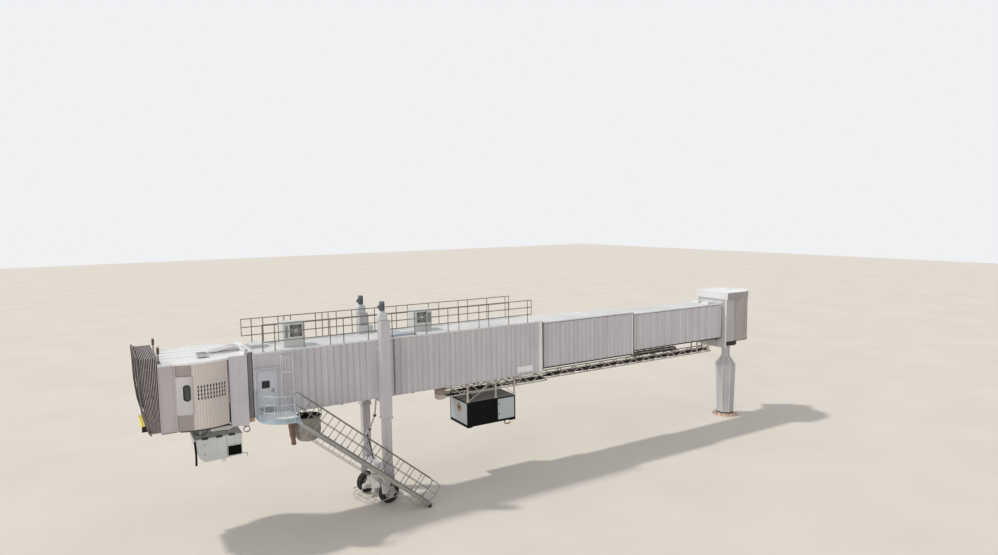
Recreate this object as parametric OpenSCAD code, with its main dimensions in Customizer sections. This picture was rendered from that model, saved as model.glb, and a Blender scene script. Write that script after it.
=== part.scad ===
// Apron-drive passenger boarding bridge: rotunda, three telescoping tunnels, lift columns and cab.
// Millimetres. Origin: centre of the rotunda column's base flange at the ground.
// +X runs out along the tunnels to the cab, +Y is the service-stair side, +Z is up.

/* [Tunnels] */
// Outer width of the outermost tunnel
tunnel_c_w = 2400; // [2300:10:2600]
// Underside of the outermost tunnel above the ground
tunnel_c_z = 5450; // [5300:10:5600]
// Height of the outermost tunnel
tunnel_c_h = 2900; // [2800:10:3000]
// Inner tunnel, nearest the rotunda: start
tunnel_a_x = 1620; // [1600:10:1700]
// Inner tunnel: length
tunnel_a_l = 13980; // [12000:10:14000]
// Middle tunnel: start
tunnel_b_x = 9610; // [9000:10:9700]
// Middle tunnel: length
tunnel_b_l = 13650; // [13000:10:14000]
// Outer tunnel: start
tunnel_c_x = 16440; // [16000:10:16600]
// Outer tunnel: length
tunnel_c_l = 15500; // [15400:10:15700]
// Thickness of a tunnel wall over its ribs
wall_t = 75; // [70:5:90]
// Depth of the wall ribs
rib_d = 40; // [20:5:45]
// Spacing of the ribs on the outer and middle tunnels
rib_pitch = 310; // [280:5:350]
// Spacing of the broader ribs on the inner tunnel
rib_pitch_a = 620; // [560:5:650]
// Thickness of the tunnel floors
floor_t = 110; // [90:5:120]
// Thickness of the tunnel roofs
roof_t = 80; // [60:5:90]
// Running gap between one tunnel and the next
nest_gap = 50; // [40:5:60]
// Length of the plain frame at each tunnel's end
end_frame_l = 230; // [200:10:320]

/* [Rotunda] */
// Width of the column across its flats
column_w = 1300; // [1200:10:1350]
// Height at which the column narrows to its neck
column_shoulder = 3650; // [3500:10:4200]
// Radius of the neck
neck_r = 270; // [260:5:350]
// Radius of the base flange
flange_r = 860; // [800:5:900]
// Radius of the anchor bolt circle
bolt_circle_r = 790; // [750:5:820]
// Floor level inside the rotunda
rotunda_floor_z = 5860; // [5850:5:5870]
// Radius of the curtain drum
drum_r = 1380; // [1350:5:1400]
// Half width of the portal frame
portal_hw = 1280; // [1250:5:1300]
// Underside of the roof cap
cap_z = 8650; // [8600:10:8700]
// Direction of the fixed link to the building, from +X
link_turn = 220; // [215:1:225]
// Height of the tunnel's hinge pins
pin_z = 5620; // [5600:5:5650]

/* [Wheel lift] */
// Distance of the lift columns from the rotunda axis
lift_x = 25900; // [25800:10:26000]
// Half the distance between the two lift columns
lift_y = 1480; // [1470:5:1500]
// Width of the outer column tube
outer_col_w = 460; // [440:5:470]
// Width of the inner column tube
inner_col_w = 390; // [360:5:400]
// Lower end of the outer column tube
outer_col_z = 4500; // [4400:10:4600]
// Top of the outer column tube
outer_col_top = 9300; // [9100:10:9400]
// Tyre diameter
tyre_d = 1060; // [1000:10:1250]
// Tyre width
tyre_w = 360; // [340:10:400]
// Distance between the tyres' centres
track = 1960; // [1850:10:2000]
// Steering angle of the bogie as it stands
steer_rest = 13.6; // [-20:0.1:20]

/* [Cab] */
// Cab turning centre, along X
cab_x = 34050; // [34000:10:34100]
// Cab turning centre, along Y
cab_y = -530; // [-550:10:-500]
// Outer radius of the slatted curtain
curtain_r = 2050; // [2040:5:2060]
// Radius of the round cab floor
cab_floor_r = 1830; // [1800:5:1840]
// Half width of the cab's front frame
cab_hw = 1740; // [1700:10:1760]
// Top of the cab walls
cab_top_z = 8200; // [8150:10:8250]
// Underside of the cab
cab_low_z = 5330; // [5300:10:5360]
// Top of the canopy's front frame
canopy_z = 8700; // [8600:10:8750]
// Depth of the canopy's side legs across the bridge
canopy_leg_w = 400; // [350:10:450]

/* [Service stair] */
// Foot of the stair along X
stair_foot_x = 23970; // [23900:10:24100]
// Hinge of the stair along X
stair_top_x = 30300; // [30200:10:30400]
// Height of the stair's hinge
stair_top_z = 5300; // [5250:10:5350]
// Centre of the stair along Y
stair_y = 2240; // [2230:5:2300]
// Width of the stair over its stringers
stair_w = 900; // [850:10:920]
// Number of treads
stair_treads_n = 25; // [20:1:28]
// Height of the stair's handrail, square to the slope
stair_rail_h = 980; // [900:10:1100]
// Spacing of the handrail posts along the slope
stair_post_pitch = 738; // [700:1:800]

/* [Hidden] */
$fn = 64;

// Shares of one rib: flat crest, then a slope each side of the groove
rib_crest_share = 0.64;
rib_slope = 25;
rail_r = 24;
rail_h = 1200;
a_z = tunnel_c_z + 2 * (floor_t + nest_gap);
b_z = tunnel_c_z + floor_t + nest_gap;
c_top = tunnel_c_z + tunnel_c_h;
b_top = c_top - roof_t - nest_gap;
a_top = b_top - roof_t - nest_gap;
c_hw = tunnel_c_w / 2;
b_hw = c_hw - wall_t - nest_gap;
a_hw = b_hw - wall_t - nest_gap;
a_end = tunnel_a_x + tunnel_a_l;
b_end = tunnel_b_x + tunnel_b_l;
c_end = tunnel_c_x + tunnel_c_l;

pedestal_h = 200;
yoke_z = 5080;
rotunda_base_z = 5500;
link_hw = 850;
link_x = 1310;
link_end = 2350;
link_top = 8270;
portal_x = 1500;
pin_x = 1600;
pin_r = 35;
pin_gap = 6;

beam_z = 1350;
beam_h = 420;
bogie_top = beam_z - 10;
cab_floor_z = 5560;
roof_r = 2085;
roof_lid_h = 90;
cab_front = 1640;
canopy_pin = [2040, 5450];
canopy_t = 60;
// Side outline of the canopy's front face, from its foot to its top: it bows forward
canopy_face = [[2050, 5360], [2140, 5610], [2296, 6270], [2382, 7160], [2400, 8090], [2430, canopy_z]];

door_x = [30990, 31840];
door_top = 7480;
landing_z = tunnel_c_z + 100;
landing_edge = [
    [30350, c_hw], [31930, c_hw], [31930, 1900], [31800, 2350], [31450, 2740],
    [31000, 2960], [30600, 2960], [30350, 2750]
];
landing_posts = [
    [31885, 1260], [31885, 1885], [31755, 2320], [31415, 2695], [30985, 2910], [30615, 2910], [30395, 2740]
];
roof_posts = [
    17400, 18620, 19870, 20460, 21650, 22280, 23500, 24140, 25340, 26560, 27780, 28420, 29640, 30940, 31470
];
// Posts that only the far rail has
far_posts = [27370, 28090, 29950, 30230];
rail_end_l = 270;

stair_run = stair_top_x - stair_foot_x;
stair_angle = atan(stair_top_z / stair_run);
stair_len = norm([stair_run, stair_top_z]);
stringer_y = stair_w / 2 - 20;
stringer_low = -145;
stringer_top = 30;
stair_eye_r = 60;
stair_pin_r = 20;

// Box given by its low and high corners
module block(low, high) {
    translate(low) cube(high - low);
}

// Round bar between two points, with few sides
module bar(a, b, r = rail_r, sides = 6) {
    d = b - a;
    l = norm(d);
    translate(a) rotate([0, acos(d.z / l), atan2(d.y, d.x)]) cylinder(r = r, h = l, $fn = sides);
}

// Run of bars through a list of points, lapped at the corners; every second bar is a shade thinner
module bar_run(points, r = rail_r, sides = 6) {
    for (i = [0 : len(points) - 2]) {
        lap = (points[i + 1] - points[i]) / norm(points[i + 1] - points[i]) * r * 0.5;
        bar(points[i] - lap, points[i + 1] + lap, r - (i % 2), sides);
    }
}

// Pin or drum along Y between two Y values
module y_pin(x, z, y0, y1, r) {
    translate([x, y1, z]) rotate([90, 0, 0]) cylinder(r = r, h = y1 - y0);
}

// Plate cut to an X-Z outline, between two Y values
module side_plate(outline, y0, y1) {
    translate([0, y1, 0]) rotate([90, 0, 0]) linear_extrude(y1 - y0) polygon(outline);
}

// Plan outline of a ribbed wall: grooves over each zone [start, end], flat elsewhere
function grooves(zone, y, pitch) = [
    for (i = [0 : floor((zone[1] - zone[0]) / pitch) - 1])
        let (x = zone[0] + i * pitch)
            each [
                [x + pitch * rib_crest_share, y],
                [x + pitch * rib_crest_share + rib_slope, y - rib_d],
                [x + pitch - rib_slope, y - rib_d],
                [x + pitch, y]
            ]
];

module ribbed_wall(x0, x1, hw, z0, z1, zones, pitch = rib_pitch) {
    translate([0, 0, z0])
        linear_extrude(z1 - z0)
            polygon(concat(
                [[x0, hw - wall_t], [x0, hw]],
                [for (zone = zones) each grooves(zone, hw, pitch)],
                [[x1, hw], [x1, hw - wall_t]]
            ));
}

module tunnel_floor(x0, x1, hw, z0) {
    block([x0, wall_t - hw, z0], [x1, hw - wall_t, z0 + floor_t]);
}

module tunnel_roof(x0, x1, hw, z1) {
    block([x0, -hw, z1 - roof_t], [x1, hw, z1]);
}

// Bolted base plate with a short pedestal and gussets between the anchor bolts
module base_flange() {
    color("rosybrown")
        difference() {
            union() {
                cylinder(r = flange_r, h = 60);
                cylinder(r = 560, h = pedestal_h);
                for (i = [0 : 11])
                    rotate(15 + i * 30)
                        side_plate([[540, 55], [820, 55], [820, 75], [660, 190], [540, 190]], -10, 10);
            }
            for (i = [0 : 11])
                rotate(i * 30) translate([bolt_circle_r, 0, -1]) cylinder(r = 20, h = 62);
        }
}

// Eight-sided shell: wider to its shoulder, then drawn in to the neck, with a collar under the yoke
module rotunda_column() {
    to_corner = 1 / cos(22.5);
    color("silver")
        rotate(22.5)
            rotate_extrude($fn = 8)
                polygon([
                    [0, pedestal_h],
                    [column_w * 0.43 * to_corner, pedestal_h],
                    [column_w * 0.5 * to_corner, column_shoulder],
                    [neck_r * to_corner, column_shoulder + 570],
                    [neck_r * to_corner, yoke_z - 110],
                    [500 * to_corner, yoke_z - 90],
                    [500 * to_corner, yoke_z - 10],
                    [neck_r * to_corner, yoke_z - 10],
                    [neck_r * to_corner, rotunda_base_z - 1],
                    [0, rotunda_base_z - 1]
                ]);
}

module rotunda_floor() {
    color("dimgray") {
        translate([0, 0, rotunda_base_z]) cylinder(r = 1290, h = rotunda_floor_z - rotunda_base_z);
        rotate(link_turn) block([0, -780, 5560], [link_x, 780, rotunda_floor_z]);
    }
}

module link_frame() {
    color("lightgray") rotate(link_turn) children();
}

module link_floor() {
    link_frame() block([link_x, -780, 5560], [link_end, 780, rotunda_floor_z]);
}

module link_side() {
    block([1175, 780, 5560], [link_end, link_hw, link_top]);
}

module link_near_wall() {
    link_frame() mirror([0, 1, 0]) link_side();
}

module link_far_wall() {
    link_frame() link_side();
}

module link_roof() {
    link_frame() block([1175, -link_hw, link_top], [link_end, link_hw, link_top + roof_t]);
}

// Ring that rides on the column's collar, with two arms out to the portal
module slew_yoke() {
    color("dimgray") {
        difference() {
            union() {
                translate([0, 0, yoke_z]) cylinder(r = 700, h = 220);
                for (s = [-1, 1])
                    side_plate([[400, yoke_z + 20], [1400, yoke_z + 20], [1400, 5340], [900, 5340], [400, 5290]],
                        s * 500 - 90, s * 500 + 90);
            }
            translate([0, 0, yoke_z - 50]) cylinder(r = neck_r * 1.15, h = 400);
        }
    }
}

// Portal: side cheeks, front legs, lintel, beams and the lugs that hold the tunnel's hinge pins
module portal_frame() {
    color("lightgray") {
        for (s = [-1, 1]) {
            block([700, min(s * 1200, s * portal_hw), 5520], [portal_x, max(s * 1200, s * portal_hw), cap_z]);
            block([1400, min(s * 860, s * 1200), 5080], [portal_x, max(s * 860, s * 1200), cap_z]);
            for (y = [560, 690])
                side_plate([[1490, 5545], [1600, 5545], [1660, 5580], [1660, 5660], [1600, 5700], [1490, 5700]],
                    s > 0 ? y : -y - 40, s > 0 ? y + 40 : -y);
            y_pin(pin_x, pin_z, s > 0 ? 570 : -720, s > 0 ? 720 : -570, pin_r);
        }
        block([1400, -860, 8060], [portal_x, 860, cap_z]);
        block([1400, -860, 5080], [portal_x, 860, rotunda_floor_z]);
        block([1300, -860, 5780], [1600, 860, rotunda_floor_z]);
    }
}

// Roof cap: a half-round lid squared at the portal, with a skirt that hangs over the curtains' tops
module rotunda_roof() {
    skirt_z = cap_z - 275;
    skirt_t = 25;
    r = drum_r + skirt_t + 5;
    front = portal_x + skirt_t + 5;
    color("white")
        difference() {
            union() {
                translate([0, 0, skirt_z]) cylinder(r = r, h = cap_z + 180 - skirt_z);
                block([0, -r, skirt_z], [front, r, cap_z + 180]);
            }
            translate([0, 0, skirt_z - 10]) cylinder(r = r - skirt_t, h = cap_z + 10 - skirt_z);
            block([0, skirt_t - r, skirt_z - 10], [front - skirt_t, r - skirt_t, cap_z]);
        }
}

module drum_sheet(from, to, r, t, z0, z1) {
    translate([0, 0, z0])
        rotate(from)
            rotate_extrude(angle = to - from, $fn = 144)
                translate([r - t, 0]) square([t, z1 - z0]);
}

module rotunda_curtain_near() {
    color("lightgray") drum_sheet(62, 184, drum_r, 30, 5530, cap_z - 2);
}

module rotunda_curtain_far() {
    color("lightgray") drum_sheet(256, 298, drum_r, 30, 5530, cap_z - 2);
}

module a_wall() {
    ribbed_wall(tunnel_a_x, a_end, a_hw, a_z, a_top - roof_t, [[1900, a_end - 100]], rib_pitch_a);
}

module tunnel_a_near_wall() {
    color("lightgray") a_wall();
}

module tunnel_a_far_wall() {
    color("lightgray") mirror([0, 1, 0]) a_wall();
}

// Inner tunnel's floor, with the two hinge lugs that turn on the portal's pins
module tunnel_a_floor() {
    color("dimgray") {
        tunnel_floor(tunnel_a_x, a_end, a_hw, a_z);
        for (s = [-1, 1])
            difference() {
                union() {
                    y_pin(pin_x, pin_z, s * 645 - 30, s * 645 + 30, 75);
                    side_plate([[pin_x, pin_z - 75], [1750, pin_z - 75], [2000, a_z], [tunnel_a_x, a_z],
                        [tunnel_a_x, pin_z + 72], [pin_x, pin_z + 72]], s * 645 - 30, s * 645 + 30);
                }
                y_pin(pin_x, pin_z, s * 645 - 40, s * 645 + 40, pin_r + pin_gap);
            }
    }
}

module tunnel_a_roof() {
    color("white") {
        tunnel_roof(tunnel_a_x, a_end, a_hw, a_top);
        for (s = [-1, 1])
            side_plate([[1900, a_top], [2700, a_top], [2600, a_top + 150], [2050, a_top + 150]],
                s * 420 - 260, s * 420 + 260);
    }
}

module b_wall() {
    ribbed_wall(tunnel_b_x, b_end, b_hw, b_z, b_top - roof_t, [[tunnel_b_x + end_frame_l, b_end - 100]]);
}

module tunnel_b_near_wall() {
    color("lightgray") b_wall();
}

module tunnel_b_far_wall() {
    color("lightgray") mirror([0, 1, 0]) b_wall();
}

module tunnel_b_floor() {
    color("dimgray") tunnel_floor(tunnel_b_x, b_end, b_hw, b_z);
}

module tunnel_b_roof() {
    color("white") tunnel_roof(tunnel_b_x, b_end, b_hw, b_top);
}

// Outer tunnel's wall: plain bands stay at its end frame, by the lift columns and round the door
module c_wall() {
    ribbed_wall(tunnel_c_x, c_end, c_hw, tunnel_c_z, c_top - roof_t,
        [[tunnel_c_x + end_frame_l, lift_x - 540], [lift_x + 560, 29990]]);
}

module tunnel_c_near_wall() {
    color("lightgray")
        difference() {
            c_wall();
            block([door_x[0], c_hw - 200, cab_floor_z], [door_x[1], c_hw + 100, door_top]);
        }
}

module tunnel_c_far_wall() {
    color("lightgray") mirror([0, 1, 0]) c_wall();
}

module tunnel_c_floor() {
    color("dimgray") tunnel_floor(tunnel_c_x, c_end, c_hw, tunnel_c_z);
}

// Outer roof with its raised gutter edges
module tunnel_c_roof() {
    color("white")
        difference() {
            tunnel_roof(tunnel_c_x, c_end, c_hw, c_top);
            block([tunnel_c_x + 60, 70 - c_hw, c_top - 25], [c_end - 60, c_hw - 70, c_top + 50]);
        }
}

// Door leaf with its small window, the frame round it and the rain strip over it
module service_door() {
    color("lightsteelblue") {
        difference() {
            block([door_x[0], c_hw - 60, cab_floor_z], [door_x[1], c_hw - 20, door_top]);
            block([31270, c_hw - 100, 6720], [31570, c_hw + 50, 7010]);
        }
        difference() {
            block([door_x[0] - 60, c_hw, cab_floor_z], [door_x[1] + 60, c_hw + 25, door_top + 60]);
            block([door_x[0], c_hw - 50, cab_floor_z - 50], [door_x[1], c_hw + 50, door_top]);
        }
        side_plate([[door_x[0] - 90, 7600], [31925, 7600], [31925, 7640], [door_x[0] - 90, 7640]], c_hw, c_hw + 220);
    }
}

// Rounded platform outside the service door, with the brackets and pins that the stair hangs on
module landing() {
    inner = stair_y - stair_w / 2 - 45;
    outer = stair_y + stair_w / 2 + 10;
    color("lightslategray") {
        translate([0, 0, tunnel_c_z]) linear_extrude(landing_z - tunnel_c_z) polygon(landing_edge);
        for (y = [inner, outer])
            side_plate([[stair_top_x - 50, stair_top_z - 50], [stair_top_x + 50, stair_top_z - 50],
                [30700, tunnel_c_z + 10], [30360, tunnel_c_z + 10], [30360, tunnel_c_z - 30],
                [stair_top_x - 50, stair_top_z + 50]], y, y + 35);
        y_pin(stair_top_x, stair_top_z, inner + 10, stair_y - stringer_y + 25, stair_pin_r);
        y_pin(stair_top_x, stair_top_z, stair_y + stringer_y - 25, outer + 25, stair_pin_r);
    }
}

module landing_rail() {
    color("gray") {
        for (z = [350, 700, 1080])
            bar_run([for (p = landing_posts) [p.x, p.y, landing_z + z]], 17);
        for (p = landing_posts)
            bar([p.x, p.y, landing_z], [p.x, p.y, landing_z + 1080], 18);
    }
}

// Ladder from the landing to the roof, with two cage hoops
module roof_ladder() {
    color("whitesmoke") {
        for (x = [30230, 30760]) {
            bar([x, c_hw + 100, landing_z + 50], [x, c_hw + 100, c_top]);
            for (z = [5800, 6900, 8100])
                bar([x, c_hw, z], [x, c_hw + 100, z], 18);
        }
        for (i = [0 : 8])
            bar([30230, c_hw + 100, 5850 + i * 300], [30760, c_hw + 100, 5850 + i * 300], 14);
        for (z = [7400, 8100])
            bar_run([for (i = [0 : 6]) [30495 + 265 * cos(i * 30), c_hw + 100 + 420 * sin(i * 30), z]], 16);
        for (i = [1 : 5])
            bar([30495 + 265 * cos(i * 30), c_hw + 100 + 420 * sin(i * 30), 7400],
                [30495 + 265 * cos(i * 30), c_hw + 100 + 420 * sin(i * 30), 8100], 12);
    }
}

// Three-bar rail on posts; an end that overhangs is closed by a short upright
module roof_rail(posts, last) {
    first = posts[0] - rail_end_l;
    for (z = [420, 810, rail_h])
        bar([first, 0, z], [last, 0, z]);
    for (x = posts)
        bar([x, 0, 0], [x, 0, rail_h]);
    for (x = [first + 10, last - 10])
        bar([x, 0, 415], [x, 0, rail_h + 5], rail_r - 3);
}

module roof_rail_near() {
    color("gray") translate([0, c_hw - 35, c_top]) roof_rail(roof_posts, roof_posts[len(roof_posts) - 1] + 12);
}

module roof_rail_far() {
    color("gray") translate([0, 35 - c_hw, c_top]) roof_rail(concat(roof_posts, far_posts), 31940);
}

// Two roof cooling units on plinths, a junction box by the far lift column and the hatch at the cab end
module roof_units() {
    deck = c_top - 25;
    plinth_h = 280;
    color("lightgray") {
        for (unit = [[29450, -200, 9450], [22750, -600, 9395]]) {
            block([unit.x, unit.y, deck + plinth_h], [unit.x + 990, unit.y + 850, unit.z]);
            block([unit.x + 20, unit.y + 20, deck], [unit.x + 970, unit.y + 830, deck + plinth_h + 10]);
        }
        block([25560, -1115, deck], [26320, -820, deck + 375]);
        block([31000, -850, deck], [31750, -50, deck + 155]);
    }
}

// Round basket for the air hose, bagged out at the bottom, hung on four straps under the outer tunnel
module hose_basket() {
    r = 600;
    t = 30;
    bag = [[300, 3830], [440, 3900], [545, 4050], [595, 4300], [r, 4600], [r, 5000]];
    n = len(bag);
    color("darkkhaki")
        translate([29500, 650, 0]) {
            rotate_extrude()
                polygon(concat(
                    [[0, bag[0].y]], bag,
                    [for (i = [n - 1 : -1 : 0]) [bag[i].x - t, bag[i].y + (i == n - 1 ? 0 : t)]],
                    [[0, bag[0].y + t]]
                ));
            for (x = [1 - r, r - 31])
                for (y = [-200, 200])
                    block([x, y - 25, 4960], [x + 30, y + 25, tunnel_c_z]);
        }
}

// Closed air unit: framed body with recessed side panels and a base channel
module air_unit() {
    x0 = 18150;
    x1 = 21150;
    color("darkslategray")
        difference() {
            block([x0, -1000, 2980], [x1, 1000, 4360]);
            for (s = [-1, 1])
                for (span = [[x0 + 60, 19270], [19390, x1 - 60]])
                    block([span[0], s * 1000 - 25, 3130], [span[1], s * 1000 + 25, 4280]);
            block([x1 - 25, -920, 3130], [x1 + 25, 920, 4280]);
            block([x0 + 300, -1100, 2970], [x1 - 300, 1100, 3020]);
        }
}

// Posts, top rails and braces that carry the air unit
module air_unit_hangers() {
    color("gray")
        for (s = [-1, 1]) {
            block([18150, s * 960 - 35, tunnel_c_z - 80], [21150, s * 960 + 35, tunnel_c_z]);
            for (x = [18190, 19380, 21110])
                block([x - 35, s * 960 - 35, 4360], [x + 35, s * 960 + 35, tunnel_c_z - 70]);
            bar([18210, s * 960, 4400], [19360, s * 960, tunnel_c_z - 100], 22, 4);
            bar([21090, s * 960, 4400], [19400, s * 960, tunnel_c_z - 100], 22, 4);
        }
}

// Box truss of light bars: four chords, zigzag sides and cross bars
module truss(x0, x1, y, z, w, h, step) {
    n = floor((x1 - x0) / step);
    for (s = [-1, 1])
        for (dz = [0, h])
            bar([x0, y + s * w / 2, z + dz], [x1, y + s * w / 2, z + dz], 22, 4);
    for (s = [-1, 1])
        for (i = [0 : n - 1])
            bar([x0 + i * step, y + s * w / 2, z + (i % 2) * h],
                [x0 + (i + 1) * step, y + s * w / 2, z + h - (i % 2) * h], 15, 4);
    for (i = [0 : 2 : n])
        bar([x0 + i * step, y - w / 2, z], [x0 + i * step, y + w / 2, z], 15, 4);
}

// Truss under the inner tunnel, hung by its root, with the covered cable tray that it carries
module cable_truss_a() {
    color("gray") {
        truss(1800, a_end, 0, 4780, 500, 340, 540);
        for (s = [-1, 1])
            for (x = [2100, 3100])
                block([x, s * 250 - 25, 4780], [x + 80, s * 250 + 25, a_z]);
        block([4960, -150, 5200], [8710, 150, 5400]);
        for (x = [5310, 6930, 8550])
            block([x - 40, -270, 5110], [x + 40, 270, 5210]);
    }
}

module cable_truss_c() {
    color("gray") {
        truss(15850, 22450, 600, 4820, 400, 400, 550);
        for (x = [16500, 18300, 20500, 22250])
            block([x - 30, 560, 5200], [x + 30, 640, tunnel_c_z]);
        for (x = [16500, 18300, 20500, 22250])
            block([x - 30, 400, 5190], [x + 30, 800, 5250]);
        block([22400, 360, 4740], [22740, 840, 5280]);
    }
}

// Outer lift tubes, their saddles on the tunnel's sides, the beam under its floor and a louvred cover
module lift_columns() {
    color("lightgray") {
        for (s = [-1, 1]) {
            difference() {
                union() {
                    translate([lift_x, s * lift_y, outer_col_z])
                        linear_extrude(outer_col_top - outer_col_z) square(outer_col_w, center = true);
                    translate([lift_x, s * lift_y, outer_col_z])
                        linear_extrude(60) square(outer_col_w + 60, center = true);
                }
                translate([lift_x, s * lift_y, outer_col_z - 50])
                    linear_extrude(outer_col_top) square(outer_col_w - 40, center = true);
            }
            for (span = [[5450, 5900], [7700, 8200]])
                block([lift_x - 300, s > 0 ? c_hw : -1255, span[0]], [lift_x + 300, s > 0 ? 1255 : -c_hw, span[1]]);
        }
        block([lift_x - 160, -1255, tunnel_c_z - 240], [lift_x + 160, 1255, tunnel_c_z]);
        difference() {
            block([lift_x - 230, -1252, c_top], [lift_x + 230, -1200, c_top + 880]);
            for (i = [0 : 7])
                block([lift_x - 190, -1215, c_top + 90 + i * 95], [lift_x + 190, -1190, c_top + 130 + i * 95]);
        }
    }
}

// Gear housing on each column top with the lift motor standing on it
module lift_motors() {
    housing_h = 420;
    color("dimgray")
        for (s = [-1, 1])
            translate([lift_x, s * lift_y, outer_col_top]) {
                side_plate([[-130, 0], [270, 0], [290, 60], [250, 330], [150, housing_h], [-60, housing_h],
                    [-130, 330]], -180, 180);
                translate([60, 0, housing_h - 10]) cylinder(r = 80, h = 60);
                translate([60, 0, housing_h + 40]) cylinder(r = 112, h = 360);
                translate([60, 0, housing_h + 390]) cylinder(r = 90, h = 60);
            }
}

// Inner legs with flared feet, the cross beam over the wheels and a drawn-in end plate
module lift_legs() {
    half = inner_col_w / 2;
    color("lightgray") {
        for (s = [-1, 1]) {
            translate([lift_x, s * lift_y, beam_z])
                linear_extrude(6600 - beam_z) square(inner_col_w, center = true);
            translate([lift_x, 0, 0])
                side_plate([[-half, beam_z], [-270, 1480], [-270, 1820], [-half, 2430], [half, 2430],
                    [270, 1820], [270, 1480], [half, beam_z]], s * lift_y - 150, s * lift_y + 150);
            translate([lift_x, 0, 0])
                side_plate([[-half, beam_z], [half, beam_z], [340, 1250], [300, 730], [140, 700], [-120, 1200]],
                    s * lift_y - 60, s * lift_y + 60);
        }
        block([lift_x - 190, half - lift_y, beam_z], [lift_x + 190, lift_y - half, beam_z + beam_h]);
    }
}

// Steered wheel carriage: turntable, tapered frame, axle, gear drums, drive motors and guard
module bogie() {
    guard = [[700, -1200, 300], [700, 1200, 300], [-700, 1200, 300], [-700, -1200, 300], [700, -1200, 300]];
    color("lightgray")
        translate([lift_x, 0, 0]) rotate(steer_rest) {
            translate([0, 0, 980]) cylinder(r = 330, h = bogie_top - 980);
            side_plate([[-260, 1000], [-200, 420], [200, 420], [260, 1000]], -560, 560);
            y_pin(0, tyre_d / 2, -1150, 1150, 60);
            for (s = [-1, 1]) {
                y_pin(0, tyre_d / 2, s > 0 ? 550 : -730, s > 0 ? 730 : -550, 260);
                translate([180, s * 430, tyre_d / 2 + 40]) rotate([0, 90, 0]) cylinder(r = 125, h = 400);
                bar([0, s * 1150, tyre_d / 2], [0, s * 1200, 300], 30);
                bar([150, s * 1200, 300], [0, s * 1150, tyre_d / 2], 20);
            }
            bar_run(guard, 25);
            for (s = [-1, 1])
                bar([700, s * 430, 300], [560, s * 430, 600], 25);
            bar_run([[700, -900, 300], [960, -800, 160], [960, 800, 160], [700, 900, 300]], 20);
        }
}

// Tyre on its dished wheel, turned about Y
module tyre() {
    r = tyre_d / 2;
    w = tyre_w / 2;
    rotate([90, 0, 0])
        rotate_extrude()
            polygon([
                [66, -w + 90], [290, -w + 90], [320, -w], [r - 50, -w], [r, -w + 50],
                [r, w - 50], [r - 50, w], [320, w], [290, w - 90], [66, w - 90]
            ]);
}

module tyre_near() {
    color("dimgray") translate([lift_x, 0, tyre_d / 2]) rotate(steer_rest) translate([0, track / 2, 0]) tyre();
}

module tyre_far() {
    color("dimgray") translate([lift_x, 0, tyre_d / 2]) rotate(steer_rest) translate([0, -track / 2, 0]) tyre();
}

// Lays children along the stair's slope: X up the slope from its foot, Z square to it
module stair_frame() {
    translate([stair_foot_x, stair_y, 0]) rotate([0, -stair_angle, 0]) children();
}

// Stringers with an eye on each hinge pin, rollers at the foot and the rod that keeps the treads level
module stair_stringers() {
    rod_z = -400;
    foot_roller = [260, -110];
    foot_roller_r = 76;
    color("gray")
        stair_frame()
            for (s = [-1, 1]) {
                y = s * stringer_y;
                difference() {
                    union() {
                        side_plate([[330, stringer_low], [stair_len - 60, stringer_low], [stair_len + 20, -50],
                            [stair_len + 20, 50], [stair_len - 40, stringer_top], [260, stringer_top],
                            [200, -20]], y - 20, y + 20);
                        y_pin(stair_len, 0, y - 20, y + 20, stair_eye_r);
                        y_pin(foot_roller.x, foot_roller.y, s > 0 ? y - 20 : y - 45, s > 0 ? y + 45 : y + 20,
                            foot_roller_r);
                    }
                    y_pin(stair_len, 0, y - 30, y + 30, stair_pin_r + pin_gap);
                }
                bar([800, y, rod_z], [stair_len - 500, y, rod_z], 16, 4);
                for (i = [1 : 12])
                    bar([stair_len * i / 13 + 150, y, stringer_low], [stair_len * i / 13 + 150, y, rod_z], 12, 4);
            }
}

module stair_treads() {
    color("gray")
        for (i = [1 : stair_treads_n])
            translate([stair_foot_x + stair_run * i / (stair_treads_n + 1), stair_y,
                stair_top_z * i / (stair_treads_n + 1)])
                block([-120, 20 - stringer_y, -90], [120, stringer_y - 20, -60]);
}

// Handrails on posts square to the slope; the foot end bends down to the stringer, the top end doubles back
module stair_rails() {
    top = stair_rail_h;
    mid = 500;
    foot_bend = [[560, top], [430, top - 50], [345, top - 200], [335, mid], [360, 260],
        [470, stringer_top + 20]];
    head_bend = [[8850, top], [8960, top - 60], [8990, top - 180], [8950, mid + 90], [8840, mid], [8150, mid]];
    posts = concat([for (i = [0 : 9]) 910 + i * stair_post_pitch], [8150]);
    color("gray")
        stair_frame()
            for (s = [-1, 1]) {
                y = s * stringer_y;
                bar([550, y, top], [8860, y, top], 21);
                bar([330, y, mid], [8160, y, mid], 13);
                bar_run([for (p = foot_bend) [p.x, y, p.y]], 18);
                bar_run([for (p = head_bend) [p.x, y, p.y]], 16);
                for (x = posts)
                    bar([x, y, stringer_top], [x, y, top], 18);
            }
}

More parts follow.
